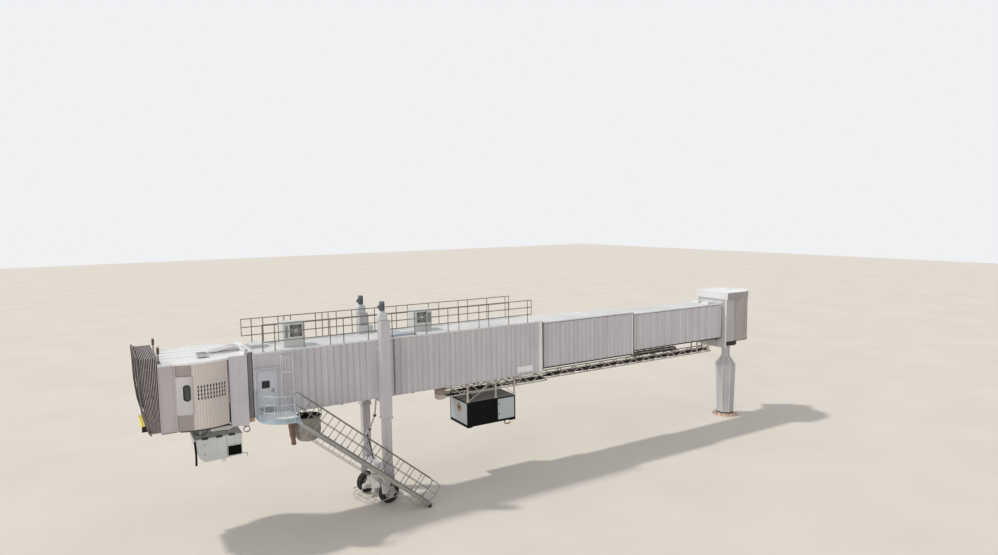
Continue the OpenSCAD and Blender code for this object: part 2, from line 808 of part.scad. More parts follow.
// Fixed throat between the outer tunnel and the turning cab, with the hood and cable arm over it
module cab_neck() {
    lid_z = cab_top_z + 220;
    side_y = [1000, 1120];
    hood = [[32250, 8310], [33500, 8310], [33500, 8322], [32560, 8530], [32250, 8460]];
    color("lightgray") {
        difference() {
            block([c_end, -c_hw, tunnel_c_z - 100], [32800, c_hw - 100, cab_floor_z]);
            translate([cab_x, cab_y, 5000]) cylinder(r = cab_floor_r + 12, h = 1000);
        }
        block([32190, 1180, cab_low_z - 130], [32940, 1240, cab_top_z - 10]);
        block([32190, side_y[0], cab_low_z - 60], [32250, 1190, cab_top_z - 10]);
        block([c_end, side_y[0], cab_low_z - 60], [32200, side_y[1], lid_z]);
        block([c_end, -1430, cab_low_z], [32030, -1130, lid_z]);
        block([32030, -1430, cab_low_z], [32250, -1130, cab_top_z - 10]);
        block([c_end, -1430, lid_z], [32300, 1240, lid_z + 30]);
        block([32120, 100, 8310], [32280, 1160, 8550]);
        side_plate(hood, -600, 115);
        bar([32560, 60, 8500], [33740, 300, 8400], 20);
        bar([32250, 1000, 8480], [33740, 600, 8395], 20);
        block([33700, 140, 8330], [34100, 750, 8440]);
    }
}

// Round turning floor with its dark track ring, cut straight at the front and drawn out to the nose
module cab_floor() {
    color("dimgray")
        translate([cab_x, cab_y, 0]) {
            difference() {
                translate([0, 0, cab_low_z]) cylinder(r = cab_floor_r, h = cab_floor_z - cab_low_z);
                block([cab_front - 20, -3000, 5000], [3000, 3000, 6000]);
            }
            difference() {
                translate([0, 0, cab_low_z - 90]) cylinder(r = 1600, h = 100);
                translate([0, 0, cab_low_z - 200]) cylinder(r = 1480, h = 400);
            }
            block([0, 60 - cab_hw, cab_low_z], [cab_front - 20, cab_hw - 60, cab_floor_z]);
            block([cab_front - 30, -1275, cab_low_z], [2090, 1275, cab_floor_z - 20]);
            for (s = [-1, 1])
                y_pin(canopy_pin.x, canopy_pin.y, s > 0 ? 1270 : -1410, s > 0 ? 1410 : -1270, 25);
        }
}

// Roof that turns with the cab: a disc over the curtain, squared to the front frame, with two beacons
module cab_roof() {
    color("white")
        translate([cab_x, cab_y, cab_top_z]) {
            difference() {
                cylinder(r = roof_r, h = roof_lid_h);
                block([cab_front, -3000, -100], [3000, 3000, 200]);
            }
            block([0, -cab_hw - 30, 0], [cab_front, cab_hw + 30, roof_lid_h]);
            for (y = [-1150, 1280])
                translate([1560, y, roof_lid_h - 5]) {
                    cylinder(r = 20, h = 420);
                    translate([0, 0, 415]) cylinder(r = 45, h = 270);
                }
        }
}

// Front side panels, each with a lip that the curtain runs behind
module cab_panels() {
    color("lightgray")
        translate([cab_x, cab_y, 0])
            for (s = [-1, 1]) {
                block([1000, s > 0 ? cab_hw - 60 : -cab_hw, cab_low_z + 50],
                    [cab_front, s > 0 ? cab_hw : 60 - cab_hw, cab_top_z]);
                block([1000, s > 0 ? cab_hw - 10 : -1830, cab_low_z + 50],
                    [1050, s > 0 ? 1830 : 10 - cab_hw, cab_top_z]);
            }
}

module cab_curtain_near() {
    color("tan") translate([cab_x, cab_y, 0]) drum_sheet(62.5, 121, curtain_r, 40, 5350, cab_top_z - 2);
}

module cab_curtain_far() {
    color("tan") translate([cab_x, cab_y, 0]) drum_sheet(-146, -62.5, curtain_r, 40, 5350, cab_top_z - 2);
}

// Curved door panel on the near side, with its oval window
module cab_window_panel() {
    color("whitesmoke")
        translate([cab_x, cab_y, 0])
            difference() {
                drum_sheet(60, 78.4, curtain_r + 45, 40, 6080, 7720);
                block([1000, 1500, 6000], [1300, 2200, 7800]);
                for (z = [6810, 7230])
                    y_pin(620, z, 1500, 2500, 155);
                block([465, 1500, 6810], [775, 2500, 7230]);
            }
}

module bumper() {
    color("gold") translate([cab_x, cab_y, 0]) block([2090, -1270, 5300], [2290, 750, 5540]);
}

// Ground power unit hung under the cab: drawn-in outer corner, top flange, louvre recess and hanging slab
module power_unit() {
    body = [[32470, 3780], [33950, 3700], [34060, 3725], [34240, 3930], [34370, 4280], [34390, 4600],
        [34390, 4720], [32470, 4720]];
    color("silver") {
        difference() {
            union() {
                side_plate(body, -700, 800);
                block([32440, -730, 4700], [34420, 830, 4760]);
            }
            block([32500, 770, 3810], [33070, 900, 4250]);
        }
        for (x = [32900, 34100])
            for (y = [-500, 280])
                block([x - 40, y - 40, 4750], [x + 40, y + 40, cab_low_z]);
        block([32880, -560, 5020], [33720, 800, 5170]);
    }
}

// Folded canopy hood: an arch of soft folds between the cab's front and the bowed hoop
module canopy_bellows() {
    gap = canopy_t + 14;
    color("dimgray")
        translate([cab_x, cab_y, 0])
            difference() {
                side_plate(concat(
                    [[cab_front, 5400], [1962, 5400], [1962, 5520]],
                    [for (i = [1 : len(canopy_face) - 2]) [canopy_face[i].x - gap, canopy_face[i].y + 30]],
                    [[canopy_face[5].x - gap, canopy_z - 80], [cab_front, canopy_z - 80]]
                ), -cab_hw, cab_hw);
                block([1500, 1 - 1290, 5300], [2500, 1290 - 1, 8170]);
            }
}

// Bowed front frame of the canopy, hinged at its feet
module canopy_hoop() {
    n = len(canopy_face);
    leg_in = cab_hw - canopy_leg_w;
    outline = concat(
        canopy_face,
        [for (i = [n - 1 : -1 : 0]) [canopy_face[i].x - canopy_t, canopy_face[i].y]]
    );
    color("black")
        translate([cab_x, cab_y, 0])
            difference() {
                union() {
                    for (s = [-1, 1]) {
                        side_plate(outline, s > 0 ? leg_in : -cab_hw, s > 0 ? cab_hw : -leg_in);
                        y_pin(canopy_pin.x, canopy_pin.y, s > 0 ? leg_in : -leg_in - 60,
                            s > 0 ? leg_in + 60 : -leg_in, 60);
                    }
                    side_plate([[2362, canopy_z - 400], [2418, canopy_z - 400], canopy_face[n - 1],
                        canopy_face[n - 1] - [canopy_t, 0]], -leg_in - 5, leg_in + 5);
                }
                for (s = [-1, 1])
                    y_pin(canopy_pin.x, canopy_pin.y, s > 0 ? leg_in - 40 : -leg_in - 80,
                        s > 0 ? leg_in + 80 : 40 - leg_in, 25 + pin_gap);
            }
}

base_flange();
rotunda_column();
rotunda_floor();
link_floor();
link_near_wall();
link_far_wall();
link_roof();
slew_yoke();
portal_frame();
rotunda_roof();
rotunda_curtain_near();
rotunda_curtain_far();
tunnel_a_near_wall();
tunnel_a_far_wall();
tunnel_a_floor();
tunnel_a_roof();
tunnel_b_near_wall();
tunnel_b_far_wall();
tunnel_b_floor();
tunnel_b_roof();
tunnel_c_near_wall();
tunnel_c_far_wall();
tunnel_c_floor();
tunnel_c_roof();
service_door();
landing();
landing_rail();
roof_ladder();
roof_rail_near();
roof_rail_far();
roof_units();
hose_basket();
air_unit();
air_unit_hangers();
cable_truss_a();
cable_truss_c();
lift_columns();
lift_motors();
lift_legs();
bogie();
tyre_near();
tyre_far();
stair_stringers();
stair_treads();
stair_rails();
cab_neck();
cab_floor();
cab_roof();
cab_panels();
cab_curtain_near();
cab_curtain_far();
cab_window_panel();
bumper();
power_unit();
canopy_bellows();
canopy_hoop();
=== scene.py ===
"""Looks of an apron-drive passenger boarding bridge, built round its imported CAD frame.

Metres, in the CAD's own frame: origin at the rotunda column's base, +X out to the cab, +Z up.
"""

import math

import bmesh
import bpy
import numpy as np
from mathutils import Matrix


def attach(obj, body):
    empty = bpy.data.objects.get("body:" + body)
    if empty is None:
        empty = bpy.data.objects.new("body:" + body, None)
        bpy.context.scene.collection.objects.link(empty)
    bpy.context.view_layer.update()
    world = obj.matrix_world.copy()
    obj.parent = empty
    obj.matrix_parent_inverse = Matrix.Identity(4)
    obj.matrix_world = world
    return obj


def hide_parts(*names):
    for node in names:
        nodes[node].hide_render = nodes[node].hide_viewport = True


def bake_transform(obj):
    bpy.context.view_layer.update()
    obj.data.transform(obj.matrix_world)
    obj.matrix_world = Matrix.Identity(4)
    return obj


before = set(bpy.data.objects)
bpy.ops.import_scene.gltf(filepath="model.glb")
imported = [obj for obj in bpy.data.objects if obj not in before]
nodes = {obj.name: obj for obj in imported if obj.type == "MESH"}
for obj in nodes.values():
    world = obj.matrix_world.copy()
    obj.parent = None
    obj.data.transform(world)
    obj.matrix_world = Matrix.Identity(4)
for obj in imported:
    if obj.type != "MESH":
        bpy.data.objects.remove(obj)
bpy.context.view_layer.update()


# Camera
# It stands high beyond the cab on the stair side and looks back along the tunnels. Its place, turn and
# lens come from the bridge's straight edges and vanishing points in the photograph.
eye = (37.88, 32.09, 14.29)
turn, dip, lean = map(math.radians, (-31.148, 5.320, -0.791))
flat_ahead = np.array([math.sin(turn), -math.cos(turn), 0.0])
flat_right = np.array([-math.cos(turn), -math.sin(turn), 0.0])
plumb = np.array([0.0, 0.0, 1.0])
ahead = flat_ahead * math.cos(dip) - plumb * math.sin(dip)
over = plumb * math.cos(dip) + flat_ahead * math.sin(dip)
right = flat_right * math.cos(lean) + over * math.sin(lean)
over = over * math.cos(lean) - flat_right * math.sin(lean)
camera = bpy.data.objects.new("camera", bpy.data.cameras.new("camera"))
bpy.context.scene.collection.objects.link(camera)
camera.matrix_world = Matrix(
    [
        [right[0], over[0], -ahead[0], eye[0]],
        [right[1], over[1], -ahead[1], eye[1]],
        [right[2], over[2], -ahead[2], eye[2]],
        [0, 0, 0, 1],
    ]
)
camera.data.sensor_width = 36.0
camera.data.lens = 36.0 * 680.99 / 998.0
camera.data.clip_end = 400.0
bpy.context.scene.camera = camera


# Hoses and cables that hang free
# A ribbed air hose lies coiled in the basket, a cable loops under the cab to its power unit, a spare
# cable hangs coiled from a hook under the neck, and a black hose feeds the wheel drives down the far leg.
def linear(colour):
    """The photograph's 0-255 values as linear light."""
    c = np.asarray(colour, float) / 255
    return tuple(np.where(c <= 0.04045, c / 12.92, ((c + 0.055) / 1.055) ** 2.4)) + (1.0,)


def coat(
    name, colour, rough=0.5, metal=0.0, drift=0.06, streaks=0.10, dust=0.05, dirt=(120, 104, 88), grain=0.15,
    size=1.0, sheets=0.0, slot=None,
):
    """Tone = colour x broad noise, darkened towards dirt by noise drawn out along Z (rain) and by specks.

    Roughness follows the rain noise, and the specks give the surface a fine grain. With sheets, noise that
    runs along X alone also shifts the tone towards lilac, as from one wall sheet to the next. A given slot is
    stored on the look.
    """
    look = bpy.data.materials.new(name)
    if slot:
        look["slot"] = slot
    look.use_nodes = True
    tree = look.node_tree
    base = tree.nodes["Principled BSDF"]
    base.inputs["Metallic"].default_value = metal
    where = tree.nodes.new("ShaderNodeTexCoord")

    def noise(scale, detail, roughness, stretch=None):
        made = tree.nodes.new("ShaderNodeTexNoise")
        made.inputs["Scale"].default_value = scale
        made.inputs["Detail"].default_value = detail
        made.inputs["Roughness"].default_value = roughness
        source = where.outputs["Object"]
        if stretch:
            drawn = tree.nodes.new("ShaderNodeMapping")
            drawn.inputs["Scale"].default_value = stretch
            tree.links.new(source, drawn.inputs["Vector"])
            source = drawn.outputs["Vector"]
        tree.links.new(source, made.inputs["Vector"])
        return made.outputs["Fac"]

    def ramp(source, low, high, start, top):
        made = tree.nodes.new("ShaderNodeMapRange")
        for slot, value in (("From Min", low), ("From Max", high), ("To Min", start), ("To Max", top)):
            made.inputs[slot].default_value = value
        tree.links.new(source, made.inputs["Value"])
        return made.outputs["Result"]

    def mixed(factor, first, second):
        made = tree.nodes.new("ShaderNodeMix")
        made.data_type = "RGBA"
        made.inputs["B"].default_value = second
        if isinstance(first, tuple):
            made.inputs["A"].default_value = first
        else:
            tree.links.new(first, made.inputs["A"])
        tree.links.new(factor, made.inputs["Factor"])
        return made.outputs["Result"]

    broad = noise(0.55 / size, 5.0, 0.5)
    rain = noise(1.0, 6.0, 0.62, (7.0 / size, 7.0 / size, 0.45 / size))
    specks = noise(34.0 / size, 3.0, 0.5)
    light, dark = (linear(np.clip(np.array(colour) * (1 + s * drift), 0, 255)) for s in (1, -1))
    tone = mixed(ramp(broad, 0.3, 0.7, 0.0, 1.0), light, dark)
    if sheets:
        tint = linear(np.array(colour) * (0.955, 0.94, 0.95))
        tone = mixed(ramp(noise(1.0, 2.0, 0.6, (1.9, 0.0, 0.0)), 0.40, 0.60, 0.0, sheets), tone, tint)
    tone = mixed(ramp(rain, 0.50, 0.78, 0.0, streaks * 2.4), tone, linear(dirt))
    tone = mixed(ramp(specks, 0.56, 0.80, 0.0, dust * 3.0), tone, linear(dirt))
    tree.links.new(tone, base.inputs["Base Color"])
    wear = ramp(rain, 0.0, 1.0, max(0.05, rough - 0.08), min(1.0, rough + 0.14))
    tree.links.new(wear, base.inputs["Roughness"])
    bump = tree.nodes.new("ShaderNodeBump")
    bump.inputs["Strength"].default_value = grain
    bump.inputs["Distance"].default_value = 0.004
    tree.links.new(specks, bump.inputs["Height"])
    tree.links.new(bump.outputs["Normal"], base.inputs["Normal"])
    return look


def dress(look, *names):
    """Gives CAD nodes their finish."""
    for name in names:
        nodes[name].data.materials.clear()
        nodes[name].data.materials.append(look)


def mesh_of(name, points, *faces):
    """Turns an array of points and arrays of faces, one array for each number of corners, into an object."""
    mesh = bpy.data.meshes.new(name)
    mesh.from_pydata(
        np.asarray(points, float).reshape(-1, 3).tolist(), [], [f for a in faces for f in a.tolist()]
    )
    made = bpy.data.objects.new(name, mesh)
    bpy.context.scene.collection.objects.link(made)
    return made


def put(piece, look, body=None, bevel=0.0, smooth=False):
    """Finishes a piece: faces outwards, its look, an optional small bevel, and the body it moves with."""
    if piece.type == "MESH":
        work = bmesh.new()
        work.from_mesh(piece.data)
        bmesh.ops.recalc_face_normals(work, faces=work.faces)
        work.to_mesh(piece.data)
        work.free()
        if smooth:
            piece.data.shade_smooth()
    piece.data.materials.clear()
    piece.data.materials.append(look)
    if bevel:
        cut = piece.modifiers.new("eased edges", "BEVEL")
        cut.width = bevel
        cut.segments = 2
        cut.limit_method = "ANGLE"
    if body:
        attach(piece, body)
    return piece


def hose(name, points, radius, sides=6):
    """A round hose along one open line of points, 2 x sides faces round; returns the curve object."""
    line = bpy.data.curves.new(name, "CURVE")
    line.dimensions = "3D"
    line.bevel_depth = radius
    line.bevel_resolution = max(0, sides // 2 - 1)
    line.use_fill_caps = True
    spline = line.splines.new("POLY")
    points = np.asarray(points, float)
    spline.points.add(len(points) - 1)
    spline.points.foreach_set("co", np.column_stack([points, np.ones(len(points))]).ravel())
    made = bpy.data.objects.new(name, line)
    bpy.context.scene.collection.objects.link(made)
    return made


def flowing(knots, count=40):
    """Catmull-Rom curve through the knots: each span blends four knots by cubic weights of its own 0-1."""
    k = np.asarray(knots, float)
    k = np.vstack([2 * k[0] - k[1], k, 2 * k[-1] - k[-2]])
    t = np.linspace(0, len(k) - 3, count)
    i = np.minimum(t.astype(int), len(k) - 4)
    u = (t - i)[:, None]
    a, b, c, d = k[i], k[i + 1], k[i + 2], k[i + 3]
    return 0.5 * (2 * b + (c - a) * u + (2 * a - 5 * b + 4 * c - d) * u**2 + (3 * b - a - 3 * c + d) * u**3)


hose_rubber = coat(
    "ribbed black hose", (34, 33, 33), 0.6, drift=0.2, streaks=0.0, dust=0.2, dirt=(92, 84, 76), grain=0.5,
    size=0.4, slot="tyre_rubber"
)
basket_x, basket_y = 29.5, 0.65
air_hose_d = 0.085
coil = np.linspace(0, 2 * np.pi * 9.75, 430)
coil_r = 0.405 + 0.028 * np.sin(0.31 * coil + 1.0)
coil_path = np.stack(
    [
        basket_x + coil_r * np.cos(coil),
        basket_y + coil_r * np.sin(coil),
        4.13 + coil / (2 * np.pi) * 0.0915 + 0.02 * np.sin(coil),
    ],
    1,
)
leave = coil_path[-1]
heading = (coil_path[-1] - coil_path[-2]) * [1, 1, 0]
heading /= np.linalg.norm(heading)
rise_r = 5.45 - leave[2]
lift_off = np.linspace(0, np.pi / 2, 14)[1:, None]
riser = leave + heading * rise_r * np.sin(lift_off) + plumb * rise_r * (1 - np.cos(lift_off))
air_path = np.vstack([coil_path, riser])[::-1]
air_hose = put(hose("basket_air_hose", air_path, air_hose_d / 2, 8), hose_rubber, "tunnel_c")

loop_xz = [
    (34.46, 5.335), (34.465, 5.22), (34.38, 5.04), (34.18, 4.96), (33.97, 5.01), (33.87, 5.16), (33.86, 5.335)
]
cab_loop_path = flowing([(x, 0.84, z) for x, z in loop_xz])
cab_loop = put(hose("cab_supply_loop", cab_loop_path, 0.02), hose_rubber, "cab")

spare_turn = np.linspace(0.5 * np.pi, 0.5 * np.pi + 2 * np.pi * 3.0, 70)[:, None]
spare_coil = np.array([32.30, 1.06, 4.98]) + np.hstack(
    [
        0.13 * np.cos(spare_turn), 0.012 + 0.029 * (spare_turn - 0.5 * np.pi) / (2 * np.pi),
        0.13 * np.sin(spare_turn)
    ]
)
spare_lead = flowing(
    [(32.52, 1.07, 5.33), (32.51, 1.07, 5.26), (32.46, 1.07, 5.16), (32.38, 1.071, 5.115)], 12
)
spare_path = np.vstack([spare_lead, spare_coil])
spare_cable = put(hose("neck_spare_cable", spare_path, 0.0125), hose_rubber, "tunnel_c")

drive_path = flowing(
    [
        (25.86, -0.66, 1.77), (25.86, -0.66, 1.90), (25.872, -0.72, 2.12), (25.90, -0.90, 2.45),
        (25.925, -1.06, 2.74), (25.935, -1.135, 2.90), (25.94, -1.155, 3.00),
    ]
)
drive_hose = put(hose("wheel_drive_hose", drive_path, 0.036), hose_rubber, "lift")


# Floor and light
# A plain pale floor, a soft sun from the far side of the bridge as in the photograph, an even sky, and a
# broad weak light from beyond the cab that models the round and many-sided parts. The camera and the gloss
# see a brighter sky than the one that lights the bridge.
world = bpy.data.worlds.new("even sky")
bpy.context.scene.world = world
world.use_nodes = True
sky = world.node_tree.nodes["Background"]
sky.inputs["Color"].default_value = linear((238, 241, 245))
sky.inputs["Strength"].default_value = 0.57
sky_seen = world.node_tree.nodes.new("ShaderNodeBackground")
sky_seen.inputs["Color"].default_value = linear((240, 241, 243))
sky_seen.inputs["Strength"].default_value = 1.0
ray = world.node_tree.nodes.new("ShaderNodeLightPath")
pick = world.node_tree.nodes.new("ShaderNodeMixShader")
seen = world.node_tree.nodes.new("ShaderNodeMath")
seen.operation = "MAXIMUM"
world.node_tree.links.new(ray.outputs["Is Camera Ray"], seen.inputs[0])
world.node_tree.links.new(ray.outputs["Is Glossy Ray"], seen.inputs[1])
world.node_tree.links.new(seen.outputs[0], pick.inputs[0])
world.node_tree.links.new(sky.outputs[0], pick.inputs[1])
world.node_tree.links.new(sky_seen.outputs[0], pick.inputs[2])
world.node_tree.links.new(pick.outputs[0], world.node_tree.nodes["World Output"].inputs["Surface"])

sun = bpy.data.objects.new("sun", bpy.data.lights.new("sun", "SUN"))
bpy.context.scene.collection.objects.link(sun)
sun.data.energy = 1.55
sun.data.angle = math.radians(3.0)
sun.data.color = (1.0, 0.97, 0.92)
toward_sun = np.array([0.48, -0.32, 0.90])
toward_sun /= np.linalg.norm(toward_sun)
side_sun = np.cross([0.0, 1.0, 0.0], toward_sun)
side_sun /= np.linalg.norm(side_sun)
up_sun = np.cross(toward_sun, side_sun)
sun.matrix_world = Matrix(
    [[side_sun[i], up_sun[i], toward_sun[i], 60.0 * toward_sun[i]] for i in range(3)] + [[0, 0, 0, 1]]
)

fill = bpy.data.objects.new("fill", bpy.data.lights.new("fill", "SUN"))
bpy.context.scene.collection.objects.link(fill)
fill.data.energy = 0.95
fill.data.angle = math.radians(40.0)
fill.matrix_world = Matrix.Rotation(math.radians(24), 4, "Z") @ Matrix.Rotation(math.radians(80), 4, "Y")

floor = mesh_of(
    "floor", [(-160, -220, 0), (220, -220, 0), (220, 120, 0), (-160, 120, 0)], np.array([[0, 1, 2, 3]])
)
floor.data.materials.append(
    coat("pale floor", (226, 219, 208), 0.9, drift=0.015, streaks=0.0, dust=0.02, grain=0.05, size=3.0)
)


# Base plate of the rotunda column
# A thick round steel plate, rusty before its grouting, bolted to cast-in anchors. Each anchor stands
# through the plate with a washer and a nut.
def ring_of(profile, centre, steps=24, axis="z", turn=0.0):
    """Revolves a list of (radius, height) points about an axis through centre; returns the grid of points."""
    r, h = np.asarray(profile, float).T
    a = turn + np.linspace(0, 2 * np.pi, steps, endpoint=False)[:, None]
    x, y, z = r * np.cos(a), r * np.sin(a), np.broadcast_to(h, (steps, len(h)))
    order = {"z": (x, y, z), "x": (z, x, y), "y": (y, z, x)}[axis]
    return np.stack(order, -1) + np.asarray(centre, float)


def grid_faces(rows, cols, wrap_rows=False, wrap_cols=False, start=0):
    """Four-cornered faces between neighbours of a grid of points; a wrapped side joins last row to first."""
    index = start + np.arange(rows * cols).reshape(rows, cols)
    if wrap_rows:
        index = np.vstack([index, index[:1]])
    if wrap_cols:
        index = np.hstack([index, index[:, :1]])
    return np.stack([index[:-1, :-1], index[1:, :-1], index[1:, 1:], index[:-1, 1:]], -1).reshape(-1, 4)


def lathes(name, profile, centres, steps=24, axis="z", turn=0.0):
    """The same turned piece at each of the centres, its profile closed at both ends by small flat discs."""
    grids = [ring_of(profile, c, steps, axis, turn) for c in np.atleast_2d(centres)]
    rows, cols = grids[0].shape[:2]
    size = rows * cols
    quads = np.concatenate(
        [grid_faces(rows, cols, wrap_rows=True, start=i * size) for i in range(len(grids))]
    )
    caps = np.array(
        [i * size + np.arange(rows) * cols + end for i in range(len(grids)) for end in (0, cols - 1)]
    )
    return mesh_of(name, np.concatenate([g.reshape(-1, 3) for g in grids]), quads, caps)


rust_primer = coat(
    "rusty base plate", (220, 198, 182), 0.75, drift=0.10, streaks=0.04, dust=0.08, dirt=(150, 108, 86),
    size=0.5
)
zinc = coat(
    "galvanised steel", (150, 152, 150), 0.45, metal=0.4, drift=0.10, streaks=0.05, dust=0.10,
    dirt=(96, 92, 88), slot="galvanised"
)
dress(rust_primer, "base_flange")
bolt_ring = [(0.79 * math.cos(a), 0.79 * math.sin(a), 0.06) for a in np.radians(np.arange(0, 360, 30))]
washer = [(0.004, 0), (0.036, 0), (0.036, 0.006), (0.004, 0.006)]
nut = [(0.004, 0.006), (0.030, 0.006), (0.030, 0.034), (0.026, 0.038), (0.004, 0.038)]
stud = [(0.004, 0.036), (0.018, 0.036), (0.018, 0.085), (0.014, 0.090), (0.004, 0.090)]
put(lathes("anchor_washers", washer, bolt_ring, 16), zinc, "anchorage")
put(lathes("anchor_nuts", nut, bolt_ring, 6), zinc, "anchorage")
put(lathes("anchor_studs", stud, bolt_ring, 12), zinc, "anchorage")


# Rotunda column
# An eight-sided welded steel shell, painted, with a weld bead up each corner and round the shoulder, a
# black sealing band at its foot and a small bolted inspection plate.
def bars(name, starts, ends, radius, sides=8):
    """Round bars from starts to ends, each a ring of sides points at both ends, closed by flat caps."""
    a, b = np.asarray(starts, float).reshape(-1, 3), np.asarray(ends, float).reshape(-1, 3)
    radius = np.broadcast_to(radius, (len(a),))[:, None, None]
    d = (b - a) / np.linalg.norm(b - a, axis=1, keepdims=True)
    helper = np.where(np.abs(d[:, 2:]) > 0.9, [[1.0, 0, 0]], [[0, 0, 1.0]])
    p = np.cross(d, helper)
    p /= np.linalg.norm(p, axis=1, keepdims=True)
    q = np.cross(d, p)
    t = np.linspace(0, 2 * np.pi, sides, endpoint=False) + np.pi / sides
    ring = radius * (np.cos(t)[None, :, None] * p[:, None] + np.sin(t)[None, :, None] * q[:, None])
    points = np.stack([a[:, None] + ring, b[:, None] + ring], 2)
    start = np.arange(len(a))[:, None] * sides * 2
    k = np.arange(sides)
    low, high = start + 2 * k, start + 2 * k + 1
    nxt_low, nxt_high = start + 2 * ((k + 1) % sides), start + 2 * ((k + 1) % sides) + 1
    walls = np.stack([low, nxt_low, nxt_high, high], -1).reshape(-1, 4)
    return mesh_of(name, points, walls, low[:, ::-1], high)


def boxes(name, lows, highs):
    """Rectangular plates given by arrays of low and high corners."""
    low, high = np.asarray(lows, float).reshape(-1, 3), np.asarray(highs, float).reshape(-1, 3)
    pick_high = np.array([[i & 1, i >> 1 & 1, i >> 2 & 1] for i in range(8)], bool)
    points = np.where(pick_high[None], high[:, None], low[:, None])
    faces = np.array([[0, 2, 3, 1], [4, 5, 7, 6], [0, 1, 5, 4], [2, 6, 7, 3], [0, 4, 6, 2], [1, 3, 7, 5]])
    return mesh_of(name, points, (np.arange(len(low))[:, None, None] * 8 + faces).reshape(-1, 4))


def swung(piece, degrees, centre=(0.0, 0.0, 0.0)):
    """Turns a piece's points about the upright line through centre, in its mesh."""
    middle = Matrix.Translation(centre)
    piece.data.transform(middle @ Matrix.Rotation(math.radians(degrees), 4, "Z") @ middle.inverted())
    return piece


column_paint = coat("column paint", (184, 183, 184), 0.32, streaks=0.10, drift=0.03, slot="column_paint")
rubber_black = coat(
    "black rubber", (30, 29, 29), 0.72, streaks=0.03, dust=0.12, dirt=(96, 86, 76), grain=0.4,
    slot="tyre_rubber"
)
dress(column_paint, "rotunda_column")
corner = np.radians(22.5 + np.arange(8) * 45)
corner_line = np.array([[0.559, 0.21], [0.65, 3.65], [0.27, 4.22]]) * [1 / math.cos(math.radians(22.5)), 1]
corner_points = np.stack(
    [
        np.outer(corner_line[:, 0], np.cos(corner)),
        np.outer(corner_line[:, 0], np.sin(corner)),
        np.repeat(corner_line[:, 1:], 8, 1),
    ],
    -1,
)
# The corner welds are painted near-white: a painted highlight along the column's edges.
weld_highlight_paint = coat("weld paint with painted highlight", (236, 236, 238), 0.3, streaks=0.05, drift=0.02, slot="column_paint")
put(bars("column_corner_weld_highlights", corner_points[:-1], corner_points[1:], 0.014, 6), weld_highlight_paint, "anchorage")
shoulder = corner_points[1]
put(bars("column_shoulder_weld", shoulder, np.roll(shoulder, -1, 0), 0.009, 6), column_paint, "anchorage")
foot_band = [(0.55, 0.198), (0.625, 0.198), (0.625, 0.275), (0.55, 0.275), (0.55, 0.198)]
band = ring_of(foot_band, (0, 0, 0), 8, turn=math.radians(22.5))
put(mesh_of("column_foot_band", band, grid_faces(8, 5, wrap_rows=True)), rubber_black, "anchorage")
plate = put(
    boxes("inspection_plate", [[0.60, -0.16, 1.55]], [[0.632, 0.16, 2.05]]), column_paint, bevel=0.004
)
swung(plate, 45)
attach(plate, "anchorage")
plate_screws = [(0.632, y, z) for y in (-0.13, 0.13) for z in (1.58, 1.80, 2.02)]
screw_head = [(0.002, 0), (0.012, 0), (0.012, 0.006), (0.008, 0.009), (0.002, 0.009)]
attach(swung(put(lathes("inspection_screws", screw_head, plate_screws, 8, "x"), zinc), 45), "anchorage")


# Slewing ring and yoke
# The turning head sits on a roller ring above the column's collar. Bolt heads stand round its rim, and
# greased teeth show under the yoke.
dark_steel = coat("dark steel", (58, 55, 53), 0.55, metal=0.3, dust=0.08, slot="dark_steel")
dress(dark_steel, "slew_yoke")
tooth_r = np.where(np.arange(360) % 4 < 2, 0.655, 0.625)
tooth_a = np.radians(np.arange(360))
teeth = np.stack(
    [
        np.stack([r * np.cos(tooth_a), r * np.sin(tooth_a), np.full(360, z)], -1)
        for r, z in ((0.58, 5.02), (tooth_r, 5.02), (tooth_r, 5.079), (0.58, 5.079), (0.58, 5.02))
    ],
    1,
)
put(mesh_of("slewing_teeth", teeth, grid_faces(360, 5, wrap_rows=True)), dark_steel, "rotunda_head")
rim_bolts = [(0.66 * math.cos(a), 0.66 * math.sin(a), 5.30) for a in np.radians(np.arange(5, 360, 10))]
put(lathes("slewing_bolts", nut, rim_bolts, 6), zinc, "rotunda_head")


# Rotunda floor and the fixed link to the building
# The link is a short box of ribbed painted sheet on a steel floor. It ends in a plain frame with a rubber
# seal, where it would meet the building.
wall_paint = coat(
    "wall paint", (204, 201, 204), 0.40, streaks=0.08, drift=0.03, dirt=(132, 118, 108), sheets=0.7
)
roof_paint = coat(
    "roof paint", (240, 240, 240), 0.5, streaks=0.02, dust=0.05, drift=0.02, dirt=(160, 164, 168),
    slot="roof_paint"
)
floor_steel = coat("underfloor steel", (104, 100, 96), 0.6, metal=0.2, dust=0.06, slot="floor_steel")
dress(floor_steel, "rotunda_floor", "link_floor")
dress(wall_paint, "link_near_wall", "link_far_wall")
dress(roof_paint, "link_roof")
link_turn = 220
rib_x = 1.52 + 0.16 * np.arange(5)
for side in (-1, 1):
    low = np.stack([rib_x, np.full(5, min(side * 0.85, side * 0.872)), np.full(5, 5.60)], 1)
    high = np.stack([rib_x + 0.07, np.full(5, max(side * 0.85, side * 0.872)), np.full(5, 8.24)], 1)
    name = "link_wall_ribs_near" if side < 0 else "link_wall_ribs_far"
    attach(swung(put(boxes(name, low, high), wall_paint, bevel=0.006), link_turn), "anchorage")
seal_low = [[2.30, -0.90, 5.53], [2.30, 0.80, 5.53], [2.30, -0.90, 8.30]]
seal_high = [[2.37, -0.80, 8.37], [2.37, 0.90, 8.37], [2.37, 0.90, 8.38]]
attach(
    swung(put(boxes("link_end_seal", seal_low, seal_high), rubber_black, bevel=0.01), link_turn), "anchorage"
)
seam_x = 1.5 + 0.28 * np.arange(3)
